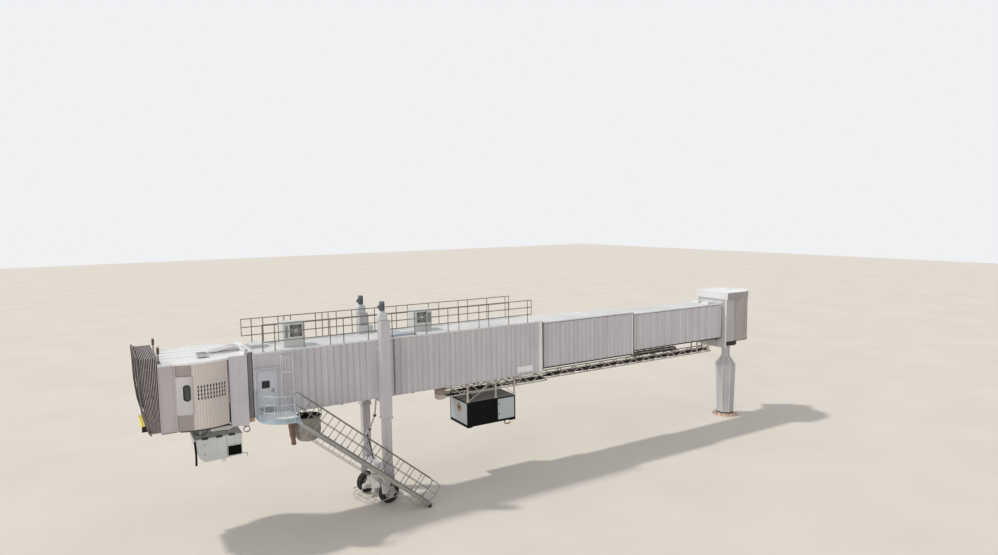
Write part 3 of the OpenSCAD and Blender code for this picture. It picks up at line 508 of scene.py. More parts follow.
link_seams = boxes(
    "link_roof_seams",
    np.stack([seam_x, np.full(3, -0.86), np.full(3, 8.348)], 1),
    np.stack([seam_x + 0.03, np.full(3, 0.86), np.full(3, 8.372)], 1),
)
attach(swung(put(link_seams, roof_paint, bevel=0.004), link_turn), "anchorage")


# Rotunda curtains
# Roller curtains of narrow painted slats, standing on edge, close the drum on both sides. One end is held
# by the turning portal and the other by the fixed link, so they wrap further round as the bridge turns.
def shell(name, outer, inner):
    """A wall between two grids of points: both faces and the four rims that close them."""
    rows, cols = outer.shape[:2]
    size = rows * cols
    back = grid_faces(rows, cols, start=size)[:, ::-1]
    index = np.arange(size).reshape(rows, cols)
    loop = np.concatenate([index[0, :-1], index[:-1, -1], index[-1, :0:-1], index[:0:-1, 0]])
    rims = np.stack([loop, np.roll(loop, -1), np.roll(loop, -1) + size, loop + size], -1)
    points = np.concatenate([outer.reshape(-1, 3), inner.reshape(-1, 3)])
    return mesh_of(name, points, grid_faces(rows, cols), back, rims)


def slat_curtain(name, centre, radius, first, last, low, high, pitch, depth, thick):
    """Slats round a drum, a wall thick deep: r = radius - depth x (1 - |sin(pi t)|^0.35), t counts slats.

    Faces next to a joint between two slats take the second material, the shaded groove.
    """
    count = int(round((last - first) / pitch))
    t = np.linspace(0, count, count * 8 + 1)
    a = np.radians(first + (last - first) * t / count)
    r = radius - depth * (1 - np.abs(np.sin(np.pi * t)) ** 0.35)
    z = np.array([low, low + 0.05, (low + high) / 2, high - 0.05, high])

    def skin(back):
        x = np.broadcast_to(centre[0] + (r - back) * np.cos(a), (5, len(t)))
        y = np.broadcast_to(centre[1] + (r - back) * np.sin(a), (5, len(t)))
        return np.stack([x, y, np.broadcast_to(z[:, None], x.shape)], -1)

    made = shell(name, skin(0.0), skin(thick))
    in_groove = np.zeros(len(made.data.polygons), int)
    in_groove[: 4 * (len(t) - 1)] = np.tile(np.isin(np.arange(len(t) - 1) % 8, (0, 7)), 4)
    made.data.polygons.foreach_set("material_index", in_groove)
    return made


def dress_slats(slats, look, groove):
    """Paints a curtain and the grooves between its slats."""
    slats.data.materials.clear()
    slats.data.materials.append(look)
    slats.data.materials.append(groove)


slat_paint = coat(
    "slat paint", (218, 208, 202), 0.42, streaks=0.06, drift=0.03, dirt=(150, 132, 118), slot="curtain_slats"
)
# The rotunda's slats are painted darker than the cab's: painted shade on the drum's sides.
drum_shade_paint = coat(
    "drum slat paint with painted shade", (172, 163, 158), 0.45, streaks=0.08, drift=0.04, dirt=(120, 106, 96),
    slot="curtain_slats"
)
slat_groove = coat(
    "shaded slat groove", (104, 93, 87), 0.7, streaks=0.05, drift=0.08, dust=0.10, dirt=(90, 78, 70),
    slot="curtain_slats"
)
for name, head_end, link_end in (("rotunda_curtain_near", 62, 184), ("rotunda_curtain_far", 298, 256)):
    first, last = sorted((head_end, link_end))
    slats = slat_curtain(name + "_slats", (0, 0), 1.379, first, last, 5.53, 8.645, 4.1, 0.014, 0.016)
    dress_slats(slats, drum_shade_paint, slat_groove)
    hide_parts(name)
    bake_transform(slats)
track = [(1.30, 5.50), (1.40, 5.50), (1.40, 5.53), (1.30, 5.53), (1.30, 5.50)]
put(
    mesh_of("curtain_floor_track", ring_of(track, (0, 0, 0), 96), grid_faces(96, 5, wrap_rows=True)),
    dark_steel, "anchorage"
)


# Portal frame and roof cap of the rotunda
# The portal is a folded and welded box frame that carries the inner tunnel on two pins. The cap is a
# lidded sheet-metal roof with a turned-down skirt, bolted together from segments.
def slab(name, outline, low, high):
    """A flat sheet of any outline, from one height to another."""
    outline = np.asarray(outline, float)
    n = len(outline)
    points = np.concatenate([np.column_stack([outline, np.full(n, z)]) for z in (low, high)])
    k = np.arange(n)
    sides = np.stack([k, np.roll(k, -1), np.roll(k, -1) + n, k + n], 1)
    return mesh_of(name, points, sides, k[None], k[None] + n)


cap_grey = coat(
    "cap front paint", (226, 225, 225), 0.45, streaks=0.04, drift=0.02, dirt=(150, 142, 134),
    slot="roof_paint"
)
# The skirt sheet's grey is darker than the cap's: painted shade on the cap's upright sides.
skirt_shade_grey = coat(
    "skirt sheet with painted shade", (162, 158, 157), 0.5, streaks=0.12, drift=0.05, dirt=(112, 102, 94),
    slot="wall_paint"
)
# The portal's grey is darker than the wall paint: painted shade on the frame.
portal_shade_paint = coat(
    "portal paint with painted shade", (186, 183, 183), 0.4, streaks=0.08, drift=0.03, dirt=(130, 118, 108), slot="wall_paint"
)
dress(portal_shade_paint, "portal_frame")
dress(cap_grey, "rotunda_roof")
put(
    boxes(
        "portal_front_edges",
        [[1.495, -1.29, 5.08], [1.495, 1.19, 5.08], [1.495, -0.90, 8.10]],
        [[1.512, -1.19, 8.64], [1.512, 1.29, 8.64], [1.512, 0.90, 8.20]],
    ),
    coat("bright edge paint", (232, 231, 232), 0.38, streaks=0.06, drift=0.02),
    "rotunda_head",
    bevel=0.004,
)
cap_angle = np.radians(np.arange(90, 271, 22.5))
cap_low = np.stack([0.15 * np.cos(cap_angle), 0.15 * np.sin(cap_angle), np.full(len(cap_angle), 8.838)], 1)
cap_high = np.stack([1.36 * np.cos(cap_angle), 1.36 * np.sin(cap_angle), np.full(len(cap_angle), 8.838)], 1)
put(bars("cap_radial_seams", cap_low, cap_high, 0.014, 6), roof_paint, "rotunda_head")
edge_angle = np.radians(np.linspace(90, 270, 61))
edge = np.vstack(
    [
        [[1.52, 1.40]], np.stack([1.40 * np.cos(edge_angle), 1.40 * np.sin(edge_angle)], 1),
        [[1.52, -1.40], [1.52, 1.40]]
    ]
)
put(slab("cap_top_sheet", edge[:-1] * 0.992, 8.826, 8.8335), roof_paint, "rotunda_head")
skirt_out, skirt_in = (
    np.stack([np.column_stack([edge[:-1] * scale, np.full(len(edge) - 1, z)]) for z in (8.378, 8.812)])
    for scale in (1.0107, 1.0050)
)
put(shell("cap_skirt_sheet", skirt_out, skirt_in), skirt_shade_grey, "rotunda_head")
edge = np.column_stack([edge, np.full(len(edge), 8.83)])
put(hose("cap_rolled_edge", edge, 0.016), roof_paint, "rotunda_head")
skirt_screws = [(x, 1.416, z) for x in np.arange(0.1, 1.5, 0.2) for z in (8.44, 8.78)]
put(lathes("cap_skirt_screws", screw_head, skirt_screws, 8, "y"), zinc, "rotunda_head")
pin_caps = [(1.60, y, 5.62) for y in (-0.745, 0.72)]
pin_cap = [(0.003, 0), (0.055, 0), (0.055, 0.015), (0.045, 0.022), (0.003, 0.022)]
put(lathes("hinge_pin_caps", pin_cap, pin_caps, 20, "y"), zinc, "rotunda_head")


# Tunnels
# Three telescoping boxes of folded, painted wall sheet on steel floors. The roofs are sheet metal with low
# seams across, dusty between them; each mouth has a rubber seal that wipes the tunnel inside it.
dusty_roof = coat(
    "dusty roof sheet", (222, 222, 222), 0.5, drift=0.05, streaks=0.03, dust=0.16, dirt=(150, 152, 154),
    size=1.6
)
edge_paint = bpy.data.materials["bright edge paint"]
for letter in "abc":
    dress(wall_paint, f"tunnel_{letter}_near_wall", f"tunnel_{letter}_far_wall")
    dress(dusty_roof, f"tunnel_{letter}_roof")
    dress(floor_steel, f"tunnel_{letter}_floor")

tunnels = {
    "a": dict(start=1.62, end=15.60, half=0.95, floor=5.77, top=8.09),
    "b": dict(start=9.61, end=23.26, half=1.075, floor=5.61, top=8.22),
    "c": dict(start=16.44, end=31.94, half=1.20, floor=5.45, top=8.35),
}
for letter, t in tunnels.items():
    body = f"tunnel_{letter}"
    first = 2.9 if letter == "a" else t["start"] + 0.35
    inset, lift_up = (0.075, -0.025) if letter == "c" else (0.0, 0.0)
    x = np.arange(first, t["end"] - 0.25, 0.61)
    across, deck = t["half"] - inset - 0.004, t["top"] + lift_up
    low = np.stack([x, np.full(len(x), -across), np.full(len(x), deck - 0.004)], 1)
    high = np.stack([x + 0.028, np.full(len(x), across), np.full(len(x), deck + 0.024)], 1)
    put(boxes(f"roof_seams_{letter}", low, high), dusty_roof, body, bevel=0.004)
    beam_x = np.arange(t["start"] + 0.5, t["end"] - 0.3, 1.22)
    deep = 0.06 if letter == "c" else 0.022
    beam_x = beam_x[
        (np.abs(beam_x - 25.9) > 0.35) & (np.abs(beam_x - 29.5) > 0.75)
    ] if letter == "c" else beam_x
    beam_x, side = (v.ravel() for v in np.meshgrid(beam_x, (-1, 1)))
    inner, outer = 0.31 * side, (t["half"] - 0.03) * side
    low = np.stack([beam_x, np.minimum(inner, outer), np.full(len(beam_x), t["floor"] - deep)], 1)
    high = np.stack([beam_x + 0.08, np.maximum(inner, outer), np.full(len(beam_x), t["floor"] + 0.004)], 1)
    put(boxes(f"floor_beams_{letter}", low, high), floor_steel, body, bevel=0.004)
    for side, word in ((1, "near"), (-1, "far")):
        if letter != "c":
            # A black strip under the roof edge of the two inner tunnels is painted shadow of the drip edge.
            drip = boxes(
                f"roof_drip_shadow_{letter}_{word}",
                [
                    [
                        t["start"] + 0.02, min(side * (t["half"] - 0.01), side * (t["half"] + 0.014)),
                        t["top"] - 0.082
                    ]
                ],
                [
                    [
                        t["end"] - 0.02, max(side * (t["half"] - 0.01), side * (t["half"] + 0.014)),
                        t["top"] - 0.064
                    ]
                ],
            )
            put(drip, rubber_black, body)
            # A black strip along each wall's foot: a rubber wiper, its black also painted shade of the gap
            # under the wall.
            skirt = boxes(
                f"floor_wiper_shade_{letter}_{word}",
                [
                    [
                        t["start"] + 0.02, min(side * (t["half"] - 0.01), side * (t["half"] + 0.010)),
                        t["floor"] - 0.020
                    ]
                ],
                [
                    [
                        t["end"] - 0.02, max(side * (t["half"] - 0.01), side * (t["half"] + 0.010)),
                        t["floor"] + 0.045
                    ]
                ],
            )
            put(skirt, rubber_black, body)
    mouth = [
        [
            [t["start"] - 0.07, -t["half"] + 0.004, t["top"] - 0.100],
            [t["start"] - 0.002, t["half"] - 0.004, t["top"] - 0.078]
        ]
    ]
    for side in (-1, 1):
        near, far = sorted((side * (t["half"] - 0.004), side * (t["half"] - 0.121)))
        mouth.append(
            [[t["start"] - 0.07, near, t["floor"] + 0.12], [t["start"] - 0.002, far, t["top"] - 0.078]]
        )
    if letter != "a":
        mouth = np.array(mouth)
        put(boxes(f"mouth_seal_{letter}", mouth[:, 0], mouth[:, 1]), rubber_black, body, bevel=0.012)

end_strips = [
    [[16.445, 1.198, 5.47], [16.67, 1.214, 8.33]],
    [[16.445, -1.214, 5.47], [16.67, -1.198, 8.33]],
    [[9.612, 1.073, 5.63], [9.68, 1.088, 8.15]],
    [[9.612, -1.088, 5.63], [9.68, -1.073, 8.15]],
]
end_strips = np.array(end_strips)
put(
    boxes("outer_tunnel_end_frames", end_strips[:2, 0], end_strips[:2, 1]), edge_paint, "tunnel_c",
    bevel=0.005
)
put(
    boxes("middle_tunnel_end_frames", end_strips[2:, 0], end_strips[2:, 1]), edge_paint, "tunnel_b",
    bevel=0.004
)
sill_low = [[16.44, 1.196, 5.44], [16.44, -1.212, 5.44]]
sill_high = [[25.60, 1.212, 5.50], [25.60, -1.196, 5.50]]
sill_low += [[26.20, 1.196, 5.44], [26.20, -1.212, 5.44]]
sill_high += [[30.34, 1.212, 5.50], [31.94, -1.196, 5.50]]
put(boxes("outer_tunnel_sills", sill_low, sill_high), wall_paint, "tunnel_c", bevel=0.004)

gutter_x = np.concatenate([np.arange(16.9, 25.5, 1.24), np.arange(26.5, 31.8, 1.24)])
for side, word in ((1, "near"), (-1, "far")):
    near, far = sorted((side * 1.18, side * 1.216))
    low = np.stack([gutter_x, np.full(len(gutter_x), near), np.full(len(gutter_x), 8.285)], 1)
    high = np.stack([gutter_x + 0.16, np.full(len(gutter_x), far), np.full(len(gutter_x), 8.358)], 1)
    put(boxes(f"gutter_clips_{word}", low, high), edge_paint, "tunnel_c", bevel=0.004)
gutter_edges = [[[16.46, y, 8.335], [31.92, y, 8.335]] for y in (1.208, -1.208)]
gutter_edges = np.array(gutter_edges)
put(bars("gutter_beads", gutter_edges[:, 0], gutter_edges[:, 1], 0.016), edge_paint, "tunnel_c")
corner_low = [[31.90, 1.196, 8.15], [31.90, -1.235, 8.15]]
corner_high = [[31.945, 1.235, 8.36], [31.945, -1.196, 8.36]]
put(boxes("gutter_outlets", corner_low, corner_high), edge_paint, "tunnel_c", bevel=0.006)
joint_strip = boxes("wall_joint_strip", [[25.290, 1.197, 5.50]], [[25.308, 1.206, 8.29]])
put(joint_strip, rubber_black, "tunnel_c")
put(boxes("wall_plate", [[17.12, 1.198, 5.62]], [[18.12, 1.224, 5.94]]), roof_paint, "tunnel_c", bevel=0.005)
# A black strip under the floor by the near wall is painted shade of the gap under the outer tunnel's edge.
put(
    boxes("underfloor_shade_strip", [[18.1, 0.99, 5.376]], [[22.0, 1.06, 5.45]]), rubber_black, "tunnel_c",
    bevel=0.004
)


# Service door
# A flush steel door with a small black window in a rubber surround, three hinges, a lever handle on its
# plate, and a folded drip strip over the frame.
door_paint = coat(
    "door paint", (205, 208, 214), 0.42, streaks=0.05, drift=0.02, dirt=(140, 134, 130), slot="wall_paint"
)
dress(door_paint, "service_door")
black_glass = coat("black window glass", (24, 26, 28), 0.10, drift=0.1, streaks=0.0, dust=0.01, grain=0.0)
put(boxes("door_pane", [[31.275, 1.150, 6.725]], [[31.565, 1.162, 7.005]]), black_glass, "tunnel_c")


def frame_round(name, x0, x1, z0, z1, y0, y1, width):
    """A flat rectangular frame in an upright plane across Y, its opening x0-x1 by z0-z1."""
    low = [[x0 - width, y0, z0 - width], [x0 - width, y0, z1], [x0 - width, y0, z0], [x1, y0, z0]]
    high = [[x1 + width, y1, z0], [x1 + width, y1, z1 + width], [x0, y1, z1], [x1 + width, y1, z1]]
    return boxes(name, low, high)


put(
    frame_round("door_pane_rubber", 31.27, 31.57, 6.72, 7.01, 1.172, 1.188, 0.022), rubber_black, "tunnel_c",
    bevel=0.003
)
put(
    boxes(
        "door_handle",
        [[31.08, 1.176, 6.46], [31.095, 1.186, 6.53], [31.095, 1.222, 6.535]],
        [[31.13, 1.188, 6.66], [31.115, 1.236, 6.55], [31.235, 1.236, 6.557]],
    ),
    zinc,
    "tunnel_c",
    bevel=0.003,
)
put(
    lathes(
        "door_hinges", [(0.002, 0), (0.014, 0), (0.014, 0.11), (0.002, 0.11)],
        [(31.835, 1.192, z) for z in (5.75, 6.5, 7.2)], 10
    ),
    zinc, "tunnel_c"
)
put(boxes("door_kick_plate", [[31.03, 1.178, 5.60]], [[31.80, 1.184, 5.85]]), zinc, "tunnel_c", bevel=0.002)


# Service landing with its rail and the roof ladder
# A rounded platform of painted steel with a perforated deck, a toe board and welded bars between the rail
# posts; the ladder is painted white and has two cage hoops.
landing_paint = coat(
    "landing paint", (172, 186, 194), 0.45, drift=0.05, dirt=(112, 118, 122), slot="landing_paint"
)
rail_paint = coat(
    "landing rail paint", (184, 192, 198), 0.45, metal=0.2, drift=0.08, dirt=(110, 100, 90),
    slot="landing_paint"
)
ladder_paint = coat("ladder paint", (214, 212, 216), 0.42, drift=0.03, streaks=0.04, slot="roof_paint")
dress(landing_paint, "landing")
dress(rail_paint, "landing_rail")
dress(ladder_paint, "roof_ladder")
rail_line = np.array(
    [
        (31.885, 1.26), (31.885, 1.885), (31.755, 2.32), (31.415, 2.695), (30.985, 2.91), (30.615, 2.91),
        (30.395, 2.74)
    ]
)
reach = np.concatenate([[0], np.cumsum(np.linalg.norm(np.diff(rail_line, axis=0), axis=1))])
picket_at = np.arange(0.10, reach[-1], 0.115)
picket = np.stack(
    [np.interp(picket_at, reach, rail_line[:, 0]), np.interp(picket_at, reach, rail_line[:, 1])], 1
)
low = np.column_stack([picket, np.full(len(picket), 5.55)])
high = np.column_stack([picket, np.full(len(picket), 6.63)])
put(bars("landing_pickets", low, high, 0.005, 5), rail_paint, "tunnel_c")
deck = [
    (30.40, 1.24), (30.40, 2.72), (30.63, 2.91), (30.98, 2.91), (31.41, 2.70), (31.76, 2.32), (31.88, 1.89),
    (31.88, 1.24)
]
deck_paint = coat(
    "worn deck paint", (246, 250, 250), 0.5, drift=0.04, streaks=0.0, dust=0.06, dirt=(150, 158, 160),
    slot="landing_paint"
)
put(slab("landing_deck_sheet", deck, 5.546, 5.5535), deck_paint, "tunnel_c", bevel=0.001)
toe = np.array([0.0, 0.12])[None, :]
toe_grid = np.stack(
    [
        np.repeat(rail_line[:, :1], 2, 1), np.repeat(rail_line[:, 1:], 2, 1),
        np.broadcast_to(5.55 + toe, (7, 2))
    ],
    -1
)
toe_inner = toe_grid - np.array([0.012, 0.012, 0.0])
put(shell("landing_toe_board", toe_grid, toe_inner), landing_paint, "tunnel_c")
hole_x, hole_y = np.meshgrid(np.arange(30.45, 31.8, 0.09), np.arange(1.30, 2.75, 0.09))
keep = (hole_x + 0.9 * hole_y < 33.55) & (hole_x - 1.2 * hole_y > 27.3)
stud_at = np.stack([hole_x[keep], hole_y[keep], np.full(keep.sum(), 5.553)], 1)
raised = [(0.001, 0), (0.016, 0), (0.011, 0.006), (0.001, 0.006)]
put(lathes("landing_deck_studs", raised, stud_at, 5), deck_paint, "tunnel_c")
rim = [
    (30.36, 1.22), (30.36, 2.74), (30.61, 2.95), (30.99, 2.95), (31.44, 2.73), (31.79, 2.345), (31.92, 1.90),
    (31.92, 1.22)
]
rim = np.column_stack([rim, np.full(8, 5.46)])
put(bars("landing_rim", rim[:-1], rim[1:], 0.028, 8), landing_paint, "tunnel_c")


# Roof rails
# Handrails of dull brown-grey tube round the outer tunnel's roof, each post on a small bolted foot plate.
rail_steel = coat(
    "handrail steel", (136, 129, 120), 0.5, metal=0.3, drift=0.10, dirt=(96, 84, 72), slot="rail_paint"
)
dress(rail_steel, "roof_rail_near", "roof_rail_far")
post_x = np.array(
    [17.40, 18.62, 19.87, 20.46, 21.65, 22.28, 23.50, 24.14, 25.34, 26.56, 27.78, 28.42, 29.64, 30.94, 31.47]
)
far_x = np.concatenate([post_x, [27.37, 28.09, 29.95, 30.23]])
for word, y, xs in (("near", 1.165, post_x), ("far", -1.165, far_x)):
    low = np.stack([xs - 0.06, np.full(len(xs), y - 0.035), np.full(len(xs), 8.345)], 1)
    high = np.stack([xs + 0.06, np.full(len(xs), y + 0.035), np.full(len(xs), 8.362)], 1)
    put(boxes(f"rail_feet_{word}", low, high), rail_steel, "tunnel_c", bevel=0.003)
    grips = [(x, y, z) for x in xs for z in (8.77, 9.16)]
    put(
        lathes(
            f"rail_sockets_{word}", [(0.002, -0.035), (0.031, -0.035), (0.031, 0.035), (0.002, 0.035)], grips,
            8
        ),
        rail_steel, "tunnel_c"
    )


# Roof cooling units, junction box and hatch
# White sheet-metal casings on plinths. Each cooling unit has a fan behind a wire guard on the stair side,
# louvres beside it and a finned coil at its back; a low cable tray runs from the second to the lift column.
unit_white = coat(
    "unit casing", (214, 215, 213), 0.42, streaks=0.07, drift=0.04, dirt=(140, 132, 122), slot="unit_paint"
)
unit_dark = coat("dark grille", (54, 54, 54), 0.5, metal=0.2, streaks=0.0, dust=0.08, slot="dark_steel")
dress(unit_white, "roof_units")


def louvres(name, x0, x1, z0, z1, y, count, depth=0.02):
    """Sloping blades across an opening: each a plate from z to z + pitch x 0.45, standing depth proud."""
    z = np.linspace(z0, z1, count, endpoint=False)
    pitch = (z1 - z0) / count
    low = np.stack([np.full(count, x0), np.full(count, y - depth), z + pitch * 0.2], 1)
    high = np.stack([np.full(count, x1), np.full(count, y + depth), z + pitch * 0.62], 1)
    return boxes(name, low, high)


for number, (x0, y0, top, mid_x, half) in enumerate(
    ((29.45, -0.20, 9.45, 29.86, 0.27), (22.75, -0.60, 9.395, 23.33, 0.26)), 1
):
    y1 = y0 + 0.85
    mid_z = (8.74 + top) / 2 - 0.02
    opening = boxes(
        f"unit_{number}_fan_opening", [[mid_x - half, y1 - 0.004, mid_z - half]],
        [[mid_x + half, y1 + 0.005, mid_z + half]]
    )
    put(opening, unit_dark, "tunnel_c")
    trim = frame_round(
        f"unit_{number}_fan_trim", mid_x - half, mid_x + half, mid_z - half, mid_z + half, y1 - 0.002,
        y1 + 0.024, 0.022
    )
    put(trim, unit_white, "tunnel_c", bevel=0.003)
    turns = np.linspace(0, 2 * np.pi, 33)
    for k, ring_r in enumerate(np.linspace(0.09, half - 0.02, 5)):
        circle = np.stack(
            [mid_x + ring_r * np.cos(turns), np.full(33, y1 + 0.020), mid_z + ring_r * np.sin(turns)], 1
        )
        put(hose(f"unit_{number}_guard_ring_{k}", circle, 0.005), unit_white, "tunnel_c")
    spoke = np.radians(np.arange(22.5, 180, 45))
    arm_x, arm_z = (half - 0.02) * np.cos(spoke), (half - 0.02) * np.sin(spoke)
    start = np.stack([mid_x - arm_x, np.full(4, y1 + 0.014), mid_z - arm_z], 1)
    end = np.stack([mid_x + arm_x, np.full(4, y1 + 0.014), mid_z + arm_z], 1)
    put(bars(f"unit_{number}_guard_spokes", start, end, 0.005, 6), unit_white, "tunnel_c")
    badge = [(0.002, 0.0), (0.078, 0.0), (0.078, 0.020), (0.060, 0.030), (0.002, 0.032)]
    put(lathes(f"unit_{number}_fan_hub", badge, [(mid_x, y1, mid_z)], 20, "y"), unit_white, "tunnel_c")
    blade_a = np.radians(np.arange(0, 360, 120))[:, None] + np.array([-0.42, 0.42, 0.30, -0.30])
    blade_r = np.array([0.08, 0.08, half - 0.04, half - 0.04])
    blade_y = y1 + np.array([0.006, 0.012, 0.012, 0.006])
    fan = np.stack(
        [
            mid_x + blade_r * np.cos(blade_a), np.broadcast_to(blade_y, (3, 4)),
            mid_z + blade_r * np.sin(blade_a)
        ],
        -1
    )
    put(mesh_of(f"unit_{number}_fan_blades", fan, np.arange(12).reshape(3, 4)), unit_dark, "tunnel_c")
    side_x = (x0 + 0.78, x0 + 0.90) if number == 1 else (x0 + 0.06, x0 + 0.24)
    put(
        louvres(f"unit_{number}_side_louvres", *side_x, 8.76, top - 0.12, y1 + 0.004, 12, 0.008),
        unit_dark,
        "tunnel_c",
        bevel=0.002,
    )
    coil_x = np.arange(x0 + 0.05, x0 + 0.97, 0.045)
    put(
        boxes(
            f"unit_{number}_coil_fins",
            np.stack([coil_x, np.full(len(coil_x), y0 - 0.012), np.full(len(coil_x), 8.72)], 1),
            np.stack([coil_x + 0.012, np.full(len(coil_x), y0 + 0.002), np.full(len(coil_x), top - 0.08)], 1),
        ),
        unit_dark,
        "tunnel_c",
    )
    lid = boxes(
        f"unit_{number}_lid", [[x0 - 0.015, y0 - 0.015, top - 0.03]], [[x0 + 1.005, y1 + 0.015, top + 0.012]]
    )
    put(lid, unit_white, "tunnel_c", bevel=0.008)
    end_low = [[x0 + 0.988, y0 + 0.08, 8.68], [x0 - 0.006, y0 + 0.08, 8.68]]
    end_high = [[x0 + 0.998, y1 - 0.08, top - 0.09], [x0 + 0.004, y1 - 0.08, top - 0.09]]
    put(boxes(f"unit_{number}_end_panels", end_low, end_high), unit_white, "tunnel_c", bevel=0.004)
put(
    boxes("hatch_lid", [[30.975, -0.875, 8.455]], [[31.775, -0.025, 8.485]]), unit_white, "tunnel_c",
    bevel=0.008
)
tray_low = [[23.95, 0.30, 8.32], [24.45, -0.45, 8.32]]
tray_high = [[25.45, 0.95, 8.42], [25.40, 0.18, 8.40]]
tray_paint = coat(
    "cable tray paint", (176, 182, 188), 0.45, drift=0.06, dirt=(112, 114, 116), slot="landing_paint"
)
put(boxes("roof_cable_trays", tray_low, tray_high), tray_paint, "tunnel_c", bevel=0.008)
put(
    boxes("junction_cover", [[25.62, -0.824, 8.40]], [[26.26, -0.812, 8.66]]), unit_white, "tunnel_c",
    bevel=0.004
)


# Hose basket
# A round wire-and-canvas basket on four straps. Its cloth bags out at the bottom between the straps, is
# stitched to a steel rim, and carries the coiled air hose; a short brown sleeve hangs at its side.
basket_cloth = coat(
    "basket canvas", (168, 162, 152), 0.85, drift=0.14, streaks=0.16, dust=0.2, dirt=(96, 88, 78), grain=0.6,
    size=0.5, slot="basket_canvas"
)
height = np.array([3.83, 3.832, 3.85, 3.90, 3.97, 4.05, 4.17, 4.30, 4.45, 4.60, 4.80, 5.0])
width = np.array([0.004, 0.16, 0.30, 0.44, 0.50, 0.545, 0.575, 0.595, 0.600, 0.601, 0.601, 0.602])
round_a = np.linspace(0, 2 * np.pi, 72, endpoint=False)[:, None]
sag = 1 + 0.016 * np.sin(3 * round_a + 0.6) * np.sin(
    np.pi * (height - 3.83) / 1.17
) + 0.006 * np.sin(24 * round_a) * (width > 0.3)
cloth_r = width * sag
cloth = np.stack(
    [
        29.5 + cloth_r * np.cos(round_a), 0.65 + cloth_r * np.sin(round_a),
        np.broadcast_to(height, cloth_r.shape)
    ],
    -1
)
lining_r = np.maximum(cloth_r - 0.026, 0.002)
lining = np.stack(
    [
        29.5 + lining_r * np.cos(round_a), 0.65 + lining_r * np.sin(round_a),
        np.broadcast_to(np.where(height < 4.9, height + 0.026, height), cloth_r.shape)
    ],
    -1
)
bag = np.concatenate([cloth, lining[:, ::-1]], 1)
basket = put(
    mesh_of("basket_cloth", bag, grid_faces(72, 24, wrap_rows=True, wrap_cols=True)), basket_cloth,
    "tunnel_c", smooth=True
)
put(
    mesh_of(
        "basket_rim",
        ring_of(
            [(0.585, 4.98), (0.62, 4.98), (0.62, 5.015), (0.585, 5.015), (0.585, 4.98)], (29.5, 0.65, 0), 48
        ),
        grid_faces(48, 5, wrap_rows=True)
    ),
    zinc, "tunnel_c"
)
strap_low = [[29.5 + x, 0.65 + y - 0.025, 4.90] for x in (-0.62, 0.59) for y in (-0.2, 0.2)]
strap_high = [[29.5 + x + 0.03, 0.65 + y + 0.025, 5.452] for x in (-0.62, 0.59) for y in (-0.2, 0.2)]
put(boxes("basket_straps", strap_low, strap_high), zinc, "tunnel_c", bevel=0.003)
hoop_turn = np.linspace(0, 2 * np.pi, 49)
for k, (z, r) in enumerate(((4.10, 0.572), (4.35, 0.606), (4.66, 0.611))):
    circle = np.stack([29.5 + r * np.cos(hoop_turn), 0.65 + r * np.sin(hoop_turn), np.full(49, z)], 1)
    put(hose(f"basket_hoop_{k}", circle, 0.008), zinc, "tunnel_c")
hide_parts("hose_basket")
sleeve_z = np.linspace(5.46, 3.86, 26)
sleeve_r = 0.11 + 0.038 * (sleeve_z - 3.86) + 0.010 * np.sin(sleeve_z * 15) + 0.012 * np.sin(
    2 * round_a + 3 * sleeve_z
)
sleeve = np.stack(
    [
        30.28 + 0.03 * np.sin(3 * sleeve_z)[None] + sleeve_r * np.cos(round_a),
        1.0 + sleeve_r * np.sin(round_a), np.broadcast_to(sleeve_z, (72, 26))
    ],
    -1
)
sleeve_back = sleeve.copy()
sleeve_back[..., 0] = 30.28 + 0.03 * np.sin(3 * sleeve_z)[None] + (sleeve_r - 0.006) * np.cos(round_a)
sleeve_back[..., 1] = 1.0 + (sleeve_r - 0.006) * np.sin(round_a)
sleeve_cloth = coat(
    "brown hose sleeve", (126, 106, 88), 0.9, drift=0.15, streaks=0.1, dust=0.15, dirt=(92, 72, 54),
    grain=0.6, size=0.4, slot="basket_canvas"
)
put(
    mesh_of(
        "hose_sleeve", np.concatenate([sleeve, sleeve_back[:, ::-1]], 1),
        grid_faces(72, 52, wrap_rows=True, wrap_cols=True)
    ),
    sleeve_cloth, "tunnel_c", smooth=True
)
end_dir = (air_path[-1] - air_path[-2]) / np.linalg.norm(air_path[-1] - air_path[-2])
coupling = bars(
    "air_hose_coupling", [air_path[-1] - 0.02 * end_dir], [air_path[-1] + 0.12 * end_dir], 0.052, 16
)
put(coupling, zinc, "tunnel_c", bevel=0.006)
outlet = [(0.002, 0.03), (0.075, 0.03), (0.075, 0.0), (0.062, -0.008), (0.048, -0.055), (0.002, -0.055)]
put(lathes("air_hose_outlet", outlet, [air_path[0]], 20), rubber_black, "tunnel_c")


